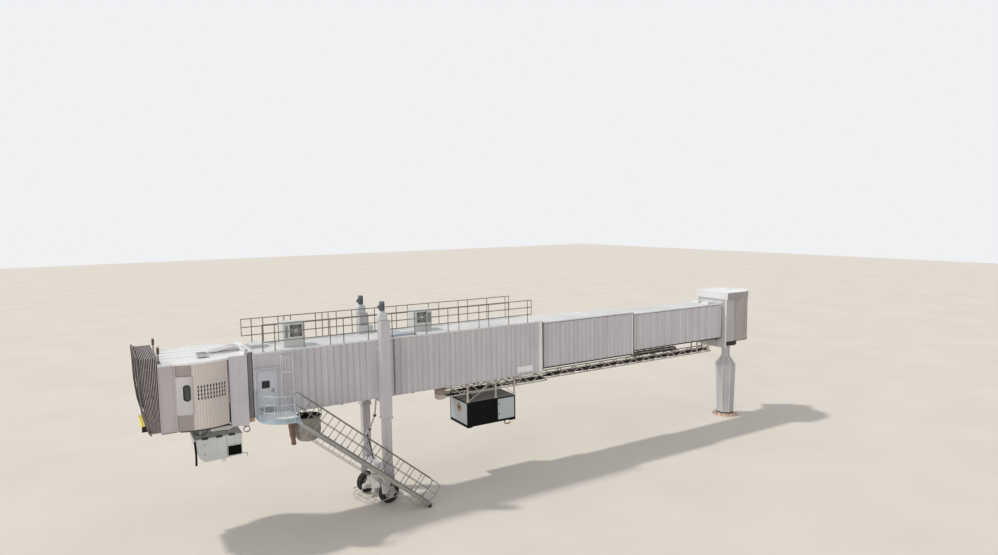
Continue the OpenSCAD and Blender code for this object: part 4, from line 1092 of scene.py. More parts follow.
# Air unit
# A framed steel cabinet hung under the outer tunnel. Its stair side has a glossy black panel and a pale one,
# its ends are pale, and its top is dusty grey sheet; the base channel is black.
unit_black = coat(
    "black panel", (8, 8, 9), 0.55, streaks=0.01, dust=0.01, dirt=(40, 38, 37), grain=0.0, slot="unit_black"
)
unit_black.node_tree.nodes["Principled BSDF"].inputs["Specular IOR Level"].default_value = 0.12
unit_pale = coat(
    "pale cabinet panel", (186, 192, 196), 0.4, streaks=0.04, drift=0.02, dirt=(140, 140, 136),
    slot="unit_paint"
)
unit_top = coat("dusty cabinet top", (150, 146, 140), 0.7, drift=0.08, dust=0.15, dirt=(110, 100, 90))
dress(unit_black, "air_unit")
for side, word in ((1, "near"), (-1, "far")):
    near, far = sorted((side * 0.974, side * 0.986))
    put(
        boxes(f"air_unit_pale_{word}", [[18.215, near, 3.135]], [[19.265, far, 4.275]]), unit_pale,
        "tunnel_c", bevel=0.004
    )
    near, far = sorted((side * 0.974, side * 0.980))
    put(
        boxes(
            f"air_unit_black_{word}", [[19.395, near, 3.135], [20.245, near, 3.135]],
            [[20.235, far, 4.275], [21.085, far, 4.275]]
        ),
        unit_black, "tunnel_c", bevel=0.003
    )
    near, far = sorted((side * 0.984, side * 1.002))
    latch_low = [[19.17, near, z] for z in (3.4, 3.95)] + [[20.19, near, z] for z in (3.4, 3.95)]
    latch_high = [[19.21, far, z + 0.10] for z in (3.4, 3.95)] + [[20.23, far, z + 0.10] for z in (3.4, 3.95)]
    put(boxes(f"air_unit_latches_{word}", latch_low, latch_high), dark_steel, "tunnel_c", bevel=0.003)
put(
    boxes("air_unit_end_panel", [[21.122, -0.915, 3.135]], [[21.152, 0.915, 4.275]]), unit_pale, "tunnel_c",
    bevel=0.006
)
put(
    boxes("air_unit_back_panel", [[18.145, -0.90, 3.15]], [[18.155, 0.90, 4.26]]), unit_pale, "tunnel_c",
    bevel=0.004
)
put(
    boxes("air_unit_top_sheet", [[18.17, -0.985, 4.355]], [[21.13, 0.985, 4.368]]), unit_top, "tunnel_c",
    bevel=0.003
)
grid_y = np.arange(-0.8, 0.81, 0.1)
put(
    boxes(
        "air_unit_end_louvres", np.stack([np.full(17, 18.140), grid_y - 0.03, np.full(17, 3.35)], 1),
        np.stack([np.full(17, 18.158), grid_y + 0.02, np.full(17, 4.0)], 1)
    ),
    unit_dark, "tunnel_c"
)
foot_low = [[18.3, y, 2.955] for y in (-0.95, 0.83)] + [[20.9, y, 2.955] for y in (-0.95, 0.83)]
foot_high = [[18.5, y + 0.12, 2.99] for y in (-0.95, 0.83)] + [[21.1, y + 0.12, 2.99] for y in (-0.95, 0.83)]
put(boxes("air_unit_feet", foot_low, foot_high), unit_black, "tunnel_c", bevel=0.004)
rust_stain = coat(
    "rust stained steel", (186, 160, 140), 0.7, drift=0.12, dust=0.2, dirt=(120, 78, 58), size=0.4
)
outlet_plate = [
    (0.002, 0.0), (0.26, 0.0), (0.26, 0.006), (0.24, 0.010), (0.10, 0.010), (0.10, 0.002), (0.002, 0.002)
]
put(lathes("air_outlet_plate", outlet_plate, [(21.15, 0.06, 3.92)], 28, "x"), rust_stain, "tunnel_c")
outlet_core = [(0.002, 0.004), (0.085, 0.004), (0.085, 0.030), (0.07, 0.036), (0.002, 0.036)]
put(lathes("air_outlet_cap", outlet_core, [(21.15, 0.06, 3.92)], 20, "x"), coat(
    "rusty cap", (110, 66, 50), 0.7, drift=0.2, dust=0.2, dirt=(70, 40, 30), size=0.3
), "tunnel_c")
trap = flowing(
    [(18.78, 0.88, 2.99), (18.78, 0.88, 2.86), (18.70, 0.88, 2.79), (18.52, 0.88, 2.79), (18.42, 0.88, 2.84)],
    24
)
put(
    hose("drain_trap", trap, 0.032, 8), coat("drain pipe rust", (150, 104, 84), 0.7, dust=0.2, size=0.3),
    "tunnel_c"
)
duct_route = [
    (20.6, 0.36, 4.35), (20.6, 0.36, 4.55), (20.75, 0.38, 4.70), (21.1, 0.43, 4.75), (21.7, 0.52, 4.80)
]
duct = flowing(duct_route + [(22.40, 0.58, 4.86)], 30)
put(hose("air_unit_conduit", duct, 0.045, 8), hose_rubber, "tunnel_c")


# Hangers and cable trusses
# Pale welded bars. The hangers carry the air unit; the trusses guide the cables as the tunnels slide, and
# black cables lie in them, strapped every metre or so.
truss_paint = coat(
    "pale truss paint", (192, 184, 175), 0.5, drift=0.06, streaks=0.06, dirt=(132, 112, 92), slot="galvanised"
)
dress(truss_paint, "air_unit_hangers", "cable_truss_a", "cable_truss_c")
gusset = [
    [x - 0.07, s * 0.96 - 0.042, z] for s in (-1, 1) for x in (18.19, 19.38, 21.11) for z in (4.36, 5.30)
]
gusset_high = [[g[0] + 0.14, g[1] + 0.084, g[2] + 0.09] for g in gusset]
put(boxes("hanger_gussets", gusset, gusset_high), truss_paint, "tunnel_c", bevel=0.004)
rust_pipe = coat(
    "rusty pipe", (150, 118, 96), 0.7, drift=0.12, dust=0.12, dirt=(96, 66, 48), size=0.5, slot="rust_steel"
)
pipe_rows = np.array([[[18.0, y, z], [22.4, y, z]] for y, z in ((-0.38, 5.36), (-0.52, 5.36), (-0.66, 5.34))])
put(bars("pipes_behind_hangers", pipe_rows[:, 0], pipe_rows[:, 1], 0.05, 10), rust_pipe, "tunnel_c")
clamp_low = [[x, -0.73, 5.28] for x in (18.6, 20.2, 21.9)]
clamp_high = [[x + 0.06, -0.31, 5.452] for x in (18.6, 20.2, 21.9)]
put(boxes("pipe_clamps", clamp_low, clamp_high), zinc, "tunnel_c", bevel=0.003)


def zigzag(x0, x1, y, z, h, step):
    """Starts and ends of web bars that climb and fall between two chords, h apart."""
    x = x0 + step * np.arange(int((x1 - x0) / step))
    up = (np.arange(len(x)) % 2)[:, None]
    low = np.column_stack([x, np.full(len(x), y), z + up[:, 0] * h])
    high = np.column_stack([x + step, np.full(len(x), y), z + h - up[:, 0] * h])
    return low, high


for word, body, x0, x1, ys, z, h, step in (
    ("a", "tunnel_a", 1.8, 15.6, (-0.25, 0.25), 4.78, 0.34, 0.54),
    ("c", "tunnel_c", 15.85, 22.45, (0.40, 0.80), 4.82, 0.40, 0.55),
):
    webs = [zigzag(x0, x1, y, z, h, step) for y in ys]
    low = np.concatenate([w[0] for w in webs])
    high = np.concatenate([w[1] for w in webs])
    put(bars(f"truss_{word}_web_angles", low, high, 0.027, 4), truss_paint, body)
    rung_x = np.arange(x0 + step / 2, x1, step)
    low = np.column_stack([rung_x, np.full(len(rung_x), ys[0]), np.full(len(rung_x), z)])
    high = np.column_stack([rung_x, np.full(len(rung_x), ys[1]), np.full(len(rung_x), z)])
    put(bars(f"truss_{word}_rungs", low, high, 0.012, 5), truss_paint, body)
    chord = np.array([[[x0, y, level], [x1, y, level]] for y in ys for level in (z, z + h)])
    put(bars(f"truss_{word}_chord_angles", chord[:, 0], chord[:, 1], 0.036, 4), truss_paint, body)
    along = np.linspace(x0 + 0.1, x1 - 0.1, 90)
    for k in range(9):
        y = ys[0] + 0.08 + (ys[1] - ys[0] - 0.16) * (k % 3) / 2 + 0.012 * np.sin(along * 2.1 + k)
        level = z + 0.055 + 0.075 * (k // 3) + 0.020 * (k % 3) + 0.012 * np.sin(along * 1.7 + 1.7 * k)
        put(
            hose(f"truss_{word}_tied_cable_{k}", np.column_stack([along, y, level]), 0.022, 6), hose_rubber,
            body
        )

heap_x = np.linspace(5.0, 8.68, 60)
for k in range(8):
    y = -0.13 + 0.037 * k + 0.010 * np.sin(heap_x * 2.6 + 2 * k)
    level = 5.412 + 0.005 * (k % 2) + 0.003 * np.sin(heap_x * 4.3 + k)
    put(hose(f"tray_tied_cable_{k}", np.column_stack([heap_x, y, level]), 0.017, 6), hose_rubber, "tunnel_a")
for k, y in enumerate((0.172, -0.172)):
    for j, level in enumerate((5.24, 5.29, 5.34)):
        line = np.column_stack(
            [
                heap_x, y + 0.004 * np.sin(3 * heap_x + j),
                level - 0.02 * np.abs(np.sin(1.94 * (heap_x - 5.31) + 0.2 * j))
            ]
        )
        put(hose(f"tray_side_cable_{k}_{j}", line, 0.020, 6), hose_rubber, "tunnel_a")
tie_x = np.array([5.31, 5.85, 6.39, 6.93, 7.47, 8.01, 8.55])
low = np.column_stack([tie_x - 0.015, np.full(7, -0.196), np.full(7, 5.195)])
high = np.column_stack([tie_x + 0.015, np.full(7, 0.196), np.full(7, 5.441)])
put(boxes("tray_straps", low, high), truss_paint, "tunnel_a", bevel=0.003)
hood_low = [[22.392, 0.352, 4.96], [22.392, 0.352, 4.732]]
hood_high = [[22.748, 0.848, 5.288], [22.748, 0.848, 4.78]]
hood_cover = coat(
    "weathered truss cover", (166, 146, 132), 0.7, drift=0.12, dust=0.2, dirt=(112, 84, 68), size=0.5,
    slot="rust_steel"
)
put(boxes("truss_end_hood", hood_low[:1], hood_high[:1]), hood_cover, "tunnel_c", bevel=0.008)
put(boxes("truss_end_shoe", hood_low[1:], hood_high[1:]), truss_paint, "tunnel_c", bevel=0.008)
hanger_pins = [(x, y, z) for x in (2.14, 3.14) for y in (-0.285, 0.265) for z in (5.0, 5.6)]
put(
    lathes("truss_hanger_bolts", [(0.002, 0), (0.02, 0), (0.02, 0.02), (0.002, 0.02)], hanger_pins, 6, "y"),
    zinc, "tunnel_a"
)


# Lift columns
# Square welded tubes fixed to the outer tunnel by bolted saddles, with flanged guide heads at their feet
# and pale paint that is rusty at the edges. The legs inside slide on black wear strips.
dress(wall_paint, "lift_columns", "lift_legs")
for side, word in ((1, "near"), (-1, "far")):
    y = side * 1.48
    seams = [
        [[25.9 + dx, y + dy, 4.56], [25.9 + dx, y + dy, 9.29]] for dx in (-0.231, 0.231)
        for dy in (-0.231, 0.231)
    ]
    seams = np.array(seams)
    put(bars(f"column_edge_welds_{word}", seams[:, 0], seams[:, 1], 0.007, 5), wall_paint, "tunnel_c")
    band = [((-0.242, 0.229), (0.242, 0.242)), ((-0.242, -0.242), (0.242, -0.229))]
    band += [((-0.242, -0.229), (-0.229, 0.229)), ((0.229, -0.229), (0.242, 0.229))]
    band_z = (5.42, 5.92, 7.68, 8.22, 9.25)
    band_low = [[25.9 + low[0], y + low[1], z] for low, high in band for z in band_z]
    band_high = [[25.9 + high[0], y + high[1], z + 0.03] for low, high in band for z in band_z]
    put(boxes(f"column_bands_{word}", band_low, band_high), wall_paint, "tunnel_c", bevel=0.003)
    foot_bolts = [(25.9 + dx, y + dy, 4.462) for dx in (-0.235, 0.0, 0.235) for dy in (-0.235, 0.235)]
    put(lathes(f"guide_head_bolts_{word}", nut, foot_bolts, 6), zinc, "tunnel_c")
    strips = [[25.9 + s * 0.198 - 0.006, y - 0.08, 4.47] for s in (-1, 1)]
    strips_high = [[25.9 + s * 0.198 + 0.006, y + 0.08, 4.56] for s in (-1, 1)]
    put(boxes(f"wear_strips_{word}", strips, strips_high), rubber_black, "tunnel_c")
saddle_bolts = [
    (x, s * 1.262 - (0.0 if s > 0 else 0.012), z) for s in (-1, 1) for x in (25.63, 26.17)
    for z in (5.55, 5.80, 7.80, 8.10)
]
put(
    lathes(
        "saddle_bolts", [(0.002, -0.008), (0.022, -0.008), (0.022, 0.014), (0.002, 0.014)], saddle_bolts, 6,
        "y"
    ),
    zinc, "tunnel_c"
)


# Lift motors
# Cast gear housings on the column tops, each with an upright electric motor: ribbed barrel, fan cowl and a
# terminal box with its gland.
motor_paint = coat("motor paint", (104, 108, 118), 0.45, metal=0.1, dust=0.08, slot="motor_paint")
housing_paint = coat(
    "gear housing paint", (206, 210, 212), 0.42, streaks=0.06, drift=0.03, dirt=(130, 124, 118),
    slot="unit_paint"
)
dress(housing_paint, "lift_motors")
for side, word in ((1, "near"), (-1, "far")):
    middle = (25.96, side * 1.48, 9.30)
    fins = [(0.002, 0.458)] + [
        (r, 0.46 + 0.02 * k + d) for k in range(17) for r,
        d in ((0.118, 0), (0.118, 0.008), (0.132, 0.009), (0.132, 0.017))
    ] + [(0.118, 0.80), (0.002, 0.80)]
    put(lathes(f"motor_fins_{word}", fins, middle, 28), motor_paint, "tunnel_c", bevel=0.0)
    cowl = [(0.002, 0.80), (0.128, 0.80), (0.128, 0.87), (0.105, 0.905), (0.05, 0.915), (0.002, 0.915)]
    put(lathes(f"motor_cowl_{word}", cowl, middle, 28), motor_paint, "tunnel_c", smooth=False)
    put(
        boxes(
            f"motor_terminal_{word}", [[26.07, middle[1] - 0.07, 9.86]], [[26.17, middle[1] + 0.07, 10.02]]
        ),
        motor_paint, "tunnel_c", bevel=0.008
    )
    put(
        boxes(
            f"housing_cover_{word}", [[25.83, middle[1] - 0.196, 9.36]], [[26.08, middle[1] + 0.196, 9.66]]
        ),
        housing_paint, "tunnel_c", bevel=0.010
    )


# Lift legs, elbow arm and wheel drive hose
# Inner tubes with flared bolted feet, a cross beam over the wheels, and a jointed arm that leads the cables
# from the tunnel down to the far leg as the legs move.
put(
    boxes(
        "leg_foot_plates",
        [[25.9 - 0.285, s * 1.48 - 0.205, z] for s in (-1, 1) for z in (1.80, 1.46)],
        [[25.9 + 0.285, s * 1.48 + 0.205, z + 0.03] for s in (-1, 1) for z in (1.80, 1.46)],
    ),
    wall_paint,
    "lift",
    bevel=0.005,
)
beam_bolts = [(x, y, 1.77) for x in (25.76, 26.04) for y in (-1.1, -0.6, 0.6, 1.1)]
put(lathes("beam_bolts", nut, beam_bolts, 6), zinc, "lift")
arm = np.array([(26.22, 1.02, 5.44), (26.16, 0.60, 4.44), (26.03, -0.52, 3.42), (25.98, -1.15, 3.07)])
elbow_arm = put(bars("elbow_arm", arm[:-1], arm[1:], (0.045, 0.042, 0.038), 10), wall_paint, bevel=0.004)
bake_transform(elbow_arm)
joints_at = put(
    lathes(
        "elbow_arm_joints", [(0.002, -0.06), (0.07, -0.06), (0.07, 0.06), (0.002, 0.06)], arm[1:3], 16, "x"
    ),
    dark_steel
)
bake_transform(joints_at)
gland = [(0.002, 0), (0.06, 0), (0.06, 0.02), (0.052, 0.026), (0.040, 0.06), (0.002, 0.06)]
put(lathes("drive_hose_gland", gland, [(25.86, -0.66, 1.765)], 16), zinc, "lift")
post = [(0.002, 0.0), (0.06, 0.0), (0.06, 0.012), (0.026, 0.012), (0.026, 1.25), (0.002, 1.25)]
put(lathes("hose_post", post, [(26.025, -1.17, 1.76)], 20), wall_paint, "lift")
post_head = boxes("hose_post_head", [[25.885, -1.205, 2.965]], [[26.035, -1.105, 3.08]])
put(post_head, wall_paint, "lift", bevel=0.008)
limit_box_low = [[26.095, -1.56, 2.05], [26.095, 1.40, 2.12]]
limit_box_high = [[26.19, -1.40, 2.35], [26.17, 1.54, 2.34]]
put(boxes("leg_junction_boxes", limit_box_low, limit_box_high), unit_white, "lift", bevel=0.01)


# Wheel carriage
# A steered carriage of plate steel with a turntable, an axle, white planetary hubs and two drive motors.
# Bent guard tubes stand before and behind the wheels.
carriage_paint = coat(
    "carriage paint", (192, 189, 184), 0.5, drift=0.06, streaks=0.1, dust=0.12, dirt=(104, 88, 72),
    slot="wall_paint"
)
dress(carriage_paint, "bogie")
steer = 13.6
hub_centre = (25.9, 0.0, 0.0)
hub = [(0.002, 0), (0.24, 0), (0.24, 0.03), (0.20, 0.05), (0.19, 0.13), (0.16, 0.15), (0.002, 0.15)]
for side, word in ((1, "near"), (-1, "far")):
    gear = lathes(
        f"planet_gear_{word}", hub if side < 0 else [(r, -h) for r, h in hub], [(25.9, side * 0.70, 0.53)],
        24, "y"
    )
    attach(swung(put(gear, unit_white, bevel=0.004), steer, hub_centre), "bogie")
    fins = [(0.002, 0.0)] + [
        (r, 0.02 + 0.022 * k + d) for k in range(15) for r,
        d in ((0.126, 0), (0.126, 0.010), (0.138, 0.011), (0.138, 0.020))
    ] + [(0.126, 0.36), (0.002, 0.40)]
    motor = lathes(f"drive_motor_fins_{word}", fins, [(26.10, side * 0.43, 0.57)], 24, "x")
    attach(swung(put(motor, unit_white), steer, hub_centre), "bogie")
turntable = [(0.25, 1.30), (0.36, 1.30), (0.36, 1.335), (0.25, 1.335), (0.25, 1.30)]
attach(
    put(
        mesh_of("turntable_ring", ring_of(turntable, (25.9, 0, 0), 48), grid_faces(48, 5, wrap_rows=True)),
        dark_steel
    ),
    "bogie"
)
ribs_low = [[25.9 + x - 0.01, -0.55, 0.45] for x in (-0.19, 0.19)]
ribs_high = [[25.9 + x + 0.01, 0.55, 0.98] for x in (-0.19, 0.19)]
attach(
    swung(put(boxes("carriage_ribs", ribs_low, ribs_high), carriage_paint, bevel=0.003), steer, hub_centre),
    "bogie"
)


# Tyres
# Solid heavy tyres on dished steel rims with a ring of wheel nuts. Each is one surface: the tread is cut by
# slanting grooves that meet at the middle, and it wears smooth towards the shoulders.
tyre_rubber = coat(
    "tyre rubber", (34, 33, 33), 0.78, drift=0.15, streaks=0.0, dust=0.25, dirt=(104, 94, 82), grain=0.5,
    size=0.5, slot="tyre_rubber"
)
rim_paint = coat(
    "wheel rim paint", (210, 210, 206), 0.45, drift=0.05, streaks=0.05, dust=0.15, dirt=(120, 100, 84),
    slot="unit_paint"
)
section = np.array(
    [
        (0.30, -0.086), (0.315, -0.130), (0.33, -0.172), (0.38, -0.180), (0.44, -0.179), (0.485, -0.172),
        (0.512, -0.155)
    ]
    + [(0.528, y) for y in np.linspace(-0.132, 0.132, 17)]
    + [
        (0.512, 0.155), (0.485, 0.172), (0.44, 0.179), (0.38, 0.180), (0.33, 0.172), (0.315, 0.130),
        (0.30, 0.086), (0.29, 0.0)
    ]
)


def tyre_surface(name, centre):
    """radius = section radius - 14 mm x groove, which is on where 30 turns + 5 |y| / width passes a half."""
    a = np.linspace(0, 2 * np.pi, 360, endpoint=False)[:, None]
    r, y = section[:, 0][None], section[:, 1][None]
    phase = (30 * a / (2 * np.pi) + 5 * np.abs(y)) % 1.0
    groove = (np.abs(phase - 0.5) < 0.17) * (r > 0.50) * 0.014 + (np.abs(y) < 0.010) * (r > 0.52) * 0.012
    points = np.stack(
        [(r - groove) * np.cos(a), np.broadcast_to(y, groove.shape), (r - groove) * np.sin(a)], -1
    )
    return mesh_of(
        name, points + np.asarray(centre), grid_faces(360, len(section), wrap_rows=True, wrap_cols=True)
    )


rim_shape = [
    (0.07, -0.09), (0.16, -0.085), (0.20, -0.06), (0.24, -0.075), (0.285, -0.10), (0.306, -0.10),
    (0.306, 0.10), (0.285, 0.10), (0.24, 0.075), (0.20, 0.06), (0.16, 0.085), (0.07, 0.09)
]
for side, word in ((1, "near"), (-1, "far")):
    centre = (25.9, side * 0.98, 0.53)
    tyre = swung(put(tyre_surface(f"tyre_{word}_tread", centre), tyre_rubber), steer, hub_centre)
    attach(tyre, f"{word}_wheel")
    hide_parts(f"tyre_{word}")
    rim = mesh_of(
        f"wheel_rim_{word}", ring_of(rim_shape, centre, 48, "y"),
        grid_faces(48, 12, wrap_rows=True, wrap_cols=True)
    )
    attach(swung(put(rim, rim_paint), steer, hub_centre), f"{word}_wheel")
    nut_ring = [
        (25.9 + 0.145 * math.cos(a), centre[1] + s * 0.088, 0.53 + 0.145 * math.sin(a))
        for a in np.radians(np.arange(0, 360, 36)) for s in (-1, 1)
    ]
    nuts = lathes(
        f"wheel_nuts_{word}", [(0.002, -0.014), (0.018, -0.014), (0.018, 0.014), (0.002, 0.014)], nut_ring, 6,
        "y"
    )
    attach(swung(put(nuts, zinc), steer, hub_centre), f"{word}_wheel")


# Service stair
# Galvanised channel stringers hinged under the landing, with open grating treads, round handrails on
# clamped posts, and two rubber rollers at the foot. Thin levelling rods run below the stringers.
stair_steel = coat(
    "stair galvanising", (164, 162, 156), 0.45, metal=0.2, drift=0.10, streaks=0.05, dust=0.12,
    dirt=(96, 90, 84), slot="galvanised"
)
post_steel = coat(
    "stair rail steel", (128, 126, 120), 0.5, metal=0.3, drift=0.10, dirt=(88, 78, 68), slot="galvanised"
)
dress(stair_steel, "stair_stringers", "stair_treads")
dress(post_steel, "stair_rails")
slope = math.atan2(5.30, 6.33)


def on_slope(x, y, z):
    """Points given along the stair, across it and square to its slope, moved to the bridge's own frame."""
    x, y, z = np.broadcast_arrays(*(np.asarray(v, float) for v in (x, y, z)))
    return np.stack(
        [
            23.97 + x * math.cos(slope) - z * math.sin(slope), 2.24 + y,
            x * math.sin(slope) + z * math.cos(slope)
        ],
        -1
    )


step = np.arange(1, 26)
tread_x = 23.97 + 6.33 * step / 26
tread_z = 5.30 * step / 26
bar_y = np.arange(-0.39, 0.391, 0.03)
tx, ty = np.meshgrid(tread_x, bar_y, indexing="ij")
tz = np.repeat(tread_z[:, None], len(bar_y), 1)
low = np.stack([tx - 0.118, 2.24 + ty - 0.0015, tz - 0.062], -1).reshape(-1, 3)
high = np.stack([tx + 0.118, 2.24 + ty + 0.0015, tz - 0.050], -1).reshape(-1, 3)
put(boxes("tread_grating_bars", low, high), stair_steel, "stair")
nose_low = np.column_stack([tread_x - 0.126, np.full(25, 2.24 - 0.41), tread_z - 0.095])
nose_high = np.column_stack([tread_x - 0.112, np.full(25, 2.24 + 0.41), tread_z - 0.047])
put(boxes("tread_nosings", nose_low, nose_high), stair_steel, "stair", bevel=0.003)
for side, word in ((1, "near"), (-1, "far")):
    ends = [
        (x, 2.24 + side * 0.452 - (0.0 if side > 0 else 0.010), z - 0.075) for x, z in zip(tread_x, tread_z)
    ]
    put(
        lathes(f"tread_bolts_{word}", [(0.002, 0), (0.013, 0), (0.013, 0.010), (0.002, 0.010)], ends, 6, "y"),
        zinc, "stair"
    )
    flange = on_slope(
        [[0.30, 8.15], [0.30, 8.15]], side * np.array([[0.449, 0.449], [0.478, 0.478]]), [[0.031, 0.031]] * 2
    )
    under = on_slope(
        [[0.30, 8.15], [0.30, 8.15]], side * np.array([[0.449, 0.449], [0.478, 0.478]]), [[0.018, 0.018]] * 2
    )
    put(shell(f"stringer_top_flange_{word}", flange, under), stair_steel, "stair")
    flange = on_slope(
        [[0.34, 8.10], [0.34, 8.10]], side * np.array([[0.449, 0.449], [0.478, 0.478]]),
        [[-0.132, -0.132]] * 2
    )
    under = on_slope(
        [[0.34, 8.10], [0.34, 8.10]], side * np.array([[0.449, 0.449], [0.478, 0.478]]),
        [[-0.145, -0.145]] * 2
    )
    put(shell(f"stringer_low_flange_{word}", flange, under), stair_steel, "stair")
    post_at = np.concatenate([0.91 + 0.738 * np.arange(10), [8.15]])
    clamp = on_slope(post_at, side * 0.43, 0.06)
    up = on_slope(post_at, side * 0.43, 0.16)
    put(bars(f"post_sockets_{word}", clamp, up, 0.028, 8), post_steel, "stair")
    cross = on_slope(post_at, side * 0.43, 0.485)
    over_cross = on_slope(post_at, side * 0.43, 0.515)
    put(bars(f"rail_crosses_{word}", cross, over_cross, 0.026, 8), post_steel, "stair")
    roller = on_slope(0.26, side * 0.4425, -0.11)
    roller_shape = [
        (0.02, -0.035), (0.078, -0.033), (0.082, -0.02), (0.082, 0.02), (0.078, 0.033), (0.02, 0.035)
    ]
    put(
        lathes(f"foot_roller_{word}", roller_shape, [tuple(roller)], 24, "y"), rubber_black, "stair",
        smooth=False
    )
    hinge = (30.30, 2.24 + side * 0.475 - (0.0 if side > 0 else 0.03), 5.30)
    put(
        lathes(
            f"stair_hinge_washer_{word}", [(0.021, 0), (0.045, 0), (0.045, 0.012), (0.021, 0.012)], [hinge],
            20, "y"
        ),
        zinc, "stair"
    )


# Cab neck, its hood and the cable arm
# The fixed throat between tunnel and cab: pale side panels, a rubber recess at the tunnel's end, and over
# the gap a sloping hood with a pair of arms out to the cable turning box on the cab's centre.
panel_paint = coat(
    "cab panel paint", (206, 202, 206), 0.38, streaks=0.05, drift=0.03, dirt=(150, 138, 130),
    slot="wall_paint"
)
front_paint = coat(
    "cab front paint", (194, 188, 190), 0.38, streaks=0.06, drift=0.03, dirt=(140, 128, 120),
    slot="wall_paint"
)
# The recess sheets and folds are painted a darker grey: painted shade in the recess at the tunnel's end.
recess_shade_grey = coat(
    "recess paint with painted shade", (150, 146, 148), 0.5, streaks=0.10, drift=0.06, dirt=(96, 88, 84), slot="wall_paint"
)
dress(panel_paint, "cab_neck")
dress(front_paint, "cab_panels")
put(
    boxes(
        "neck_recess_sheets",
        [[31.945, 1.118, 5.46], [31.945, -1.44, 5.40]],
        [[32.188, 1.134, 8.40], [32.188, -1.428, 8.18]],
    ),
    recess_shade_grey,
    "tunnel_c",
    bevel=0.006,
)
fold_low = [[32.02, 1.13, 5.46], [32.10, 1.13, 5.46]]
fold_high = [[32.05, 1.162, 8.40], [32.13, 1.162, 8.40]]
put(boxes("neck_recess_folds", fold_low, fold_high), recess_shade_grey, "tunnel_c", bevel=0.014)
put(boxes("neck_recess_gap", [[31.947, 1.13, 5.46]], [[31.965, 1.15, 8.40]]), rubber_black, "tunnel_c")
tan_patch = coat("tan sealant", (170, 146, 120), 0.8, drift=0.12, dust=0.2, dirt=(120, 96, 76), size=0.4)
put(
    boxes("neck_recess_patch", [[31.95, 1.13, 5.28]], [[32.18, 1.20, 5.47]]), tan_patch, "tunnel_c",
    bevel=0.01
)
panel_edges = [[32.188, 1.236, 5.21], [32.915, 1.236, 5.21], [32.215, 1.236, 5.21], [32.215, 1.236, 8.16]]
panel_edges_high = [
    [32.216, 1.250, 8.18], [32.942, 1.250, 8.18], [32.915, 1.250, 5.236], [32.915, 1.250, 8.18]
]
put(boxes("neck_panel_folds", panel_edges, panel_edges_high), panel_paint, "tunnel_c", bevel=0.004)
put(
    boxes("neck_curtain_lip", [[32.935, 1.17, 5.25]], [[32.955, 1.246, 8.18]]), rubber_black, "tunnel_c",
    bevel=0.004
)
hood_edge = np.array([(32.25, 8.463), (32.56, 8.533), (33.50, 8.325)])
for y in (-0.60, 0.115):
    line = np.column_stack([hood_edge[:, 0], np.full(3, y), hood_edge[:, 1]])
    put(hose(f"hood_edge_{'far' if y < 0 else 'near'}", line, 0.012), panel_paint, "tunnel_c")
hood_seam = np.array(
    [
        [[x, -0.60, 8.533 - 0.2234 * (x - 32.56) + 0.003], [x, 0.115, 8.533 - 0.2234 * (x - 32.56) + 0.003]]
        for x in (32.75, 33.05, 33.30)
    ]
)
put(bars("hood_seams", hood_seam[:, 0], hood_seam[:, 1], 0.008, 6), panel_paint, "tunnel_c")
put(
    boxes("neck_lid_sheet", [[31.955, -1.425, 8.440]], [[32.295, 1.235, 8.4575]]), roof_paint, "tunnel_c",
    bevel=0.004
)
put(
    boxes(
        "neck_lid_edges", [[31.95, 1.228, 8.412], [31.95, -1.442, 8.412]],
        [[32.31, 1.25, 8.462], [32.31, -1.42, 8.462]]
    ),
    edge_paint, "tunnel_c", bevel=0.006
)
fold = np.linspace(0, 1, 25)
seal_x = 32.30 + 0.012 * np.sin(fold * 12 * np.pi)
gusset_grid = np.stack(
    [
        np.stack([seal_x - d, 0.13 + 1.11 * fold, np.full(25, z)], -1) for d,
        z in ((0.0, 8.30), (0.01, 8.44), (0.03, 8.56))
    ]
)
put(shell("hood_gaiter", gusset_grid, gusset_grid - [0.02, 0, 0.0]), roof_paint, "tunnel_c")
corner_sheet = [(32.19, 0.10), (32.60, 0.10), (32.935, 1.10), (32.935, 1.25), (32.19, 1.25)]
put(slab("neck_corner_cover", corner_sheet, 8.312, 8.320), roof_paint, "tunnel_c", bevel=0.002)
put(
    boxes("neck_corner_skirt", [[32.19, 1.238, 8.176]], [[32.935, 1.250, 8.314]]), panel_paint, "tunnel_c",
    bevel=0.003
)
put(
    boxes("turning_box_lid", [[33.69, 0.13, 8.432]], [[34.11, 0.76, 8.452]]), unit_white, "tunnel_c",
    bevel=0.006
)
box_fins = np.arange(33.74, 34.08, 0.055)
put(
    boxes(
        "turning_box_fins",
        np.stack([box_fins, np.full(len(box_fins), 0.18), np.full(len(box_fins), 8.45)], 1),
        np.stack([box_fins + 0.018, np.full(len(box_fins), 0.71), np.full(len(box_fins), 8.47)], 1)
    ),
    unit_dark, "tunnel_c"
)
arm_cable = flowing([(32.4, 0.95, 8.53), (32.9, 0.82, 8.52), (33.4, 0.68, 8.47), (33.8, 0.55, 8.46)], 24)
put(hose("cable_arm_lead", arm_cable, 0.013), hose_rubber, "tunnel_c")
put(
    bars(
        "spare_cable_hook", [(32.30, 1.19, 5.25), (32.30, 1.19, 5.10)],
        [(32.30, 1.19, 5.10), (32.30, 1.03, 5.088)], 0.010, 8
    ),
    zinc, "tunnel_c"
)
plug_dir = spare_path[-1] - spare_path[-2]
plug_dir /= np.linalg.norm(plug_dir)
plug = bars(
    "spare_cable_plug", [spare_path[-1] - 0.01 * plug_dir], [spare_path[-1] + 0.09 * plug_dir], 0.022, 12
)
put(plug, rubber_black, "tunnel_c", bevel=0.004)
relief = [(0.002, 0.02), (0.026, 0.02), (0.026, 0.0), (0.022, -0.006), (0.014, -0.040), (0.002, -0.040)]
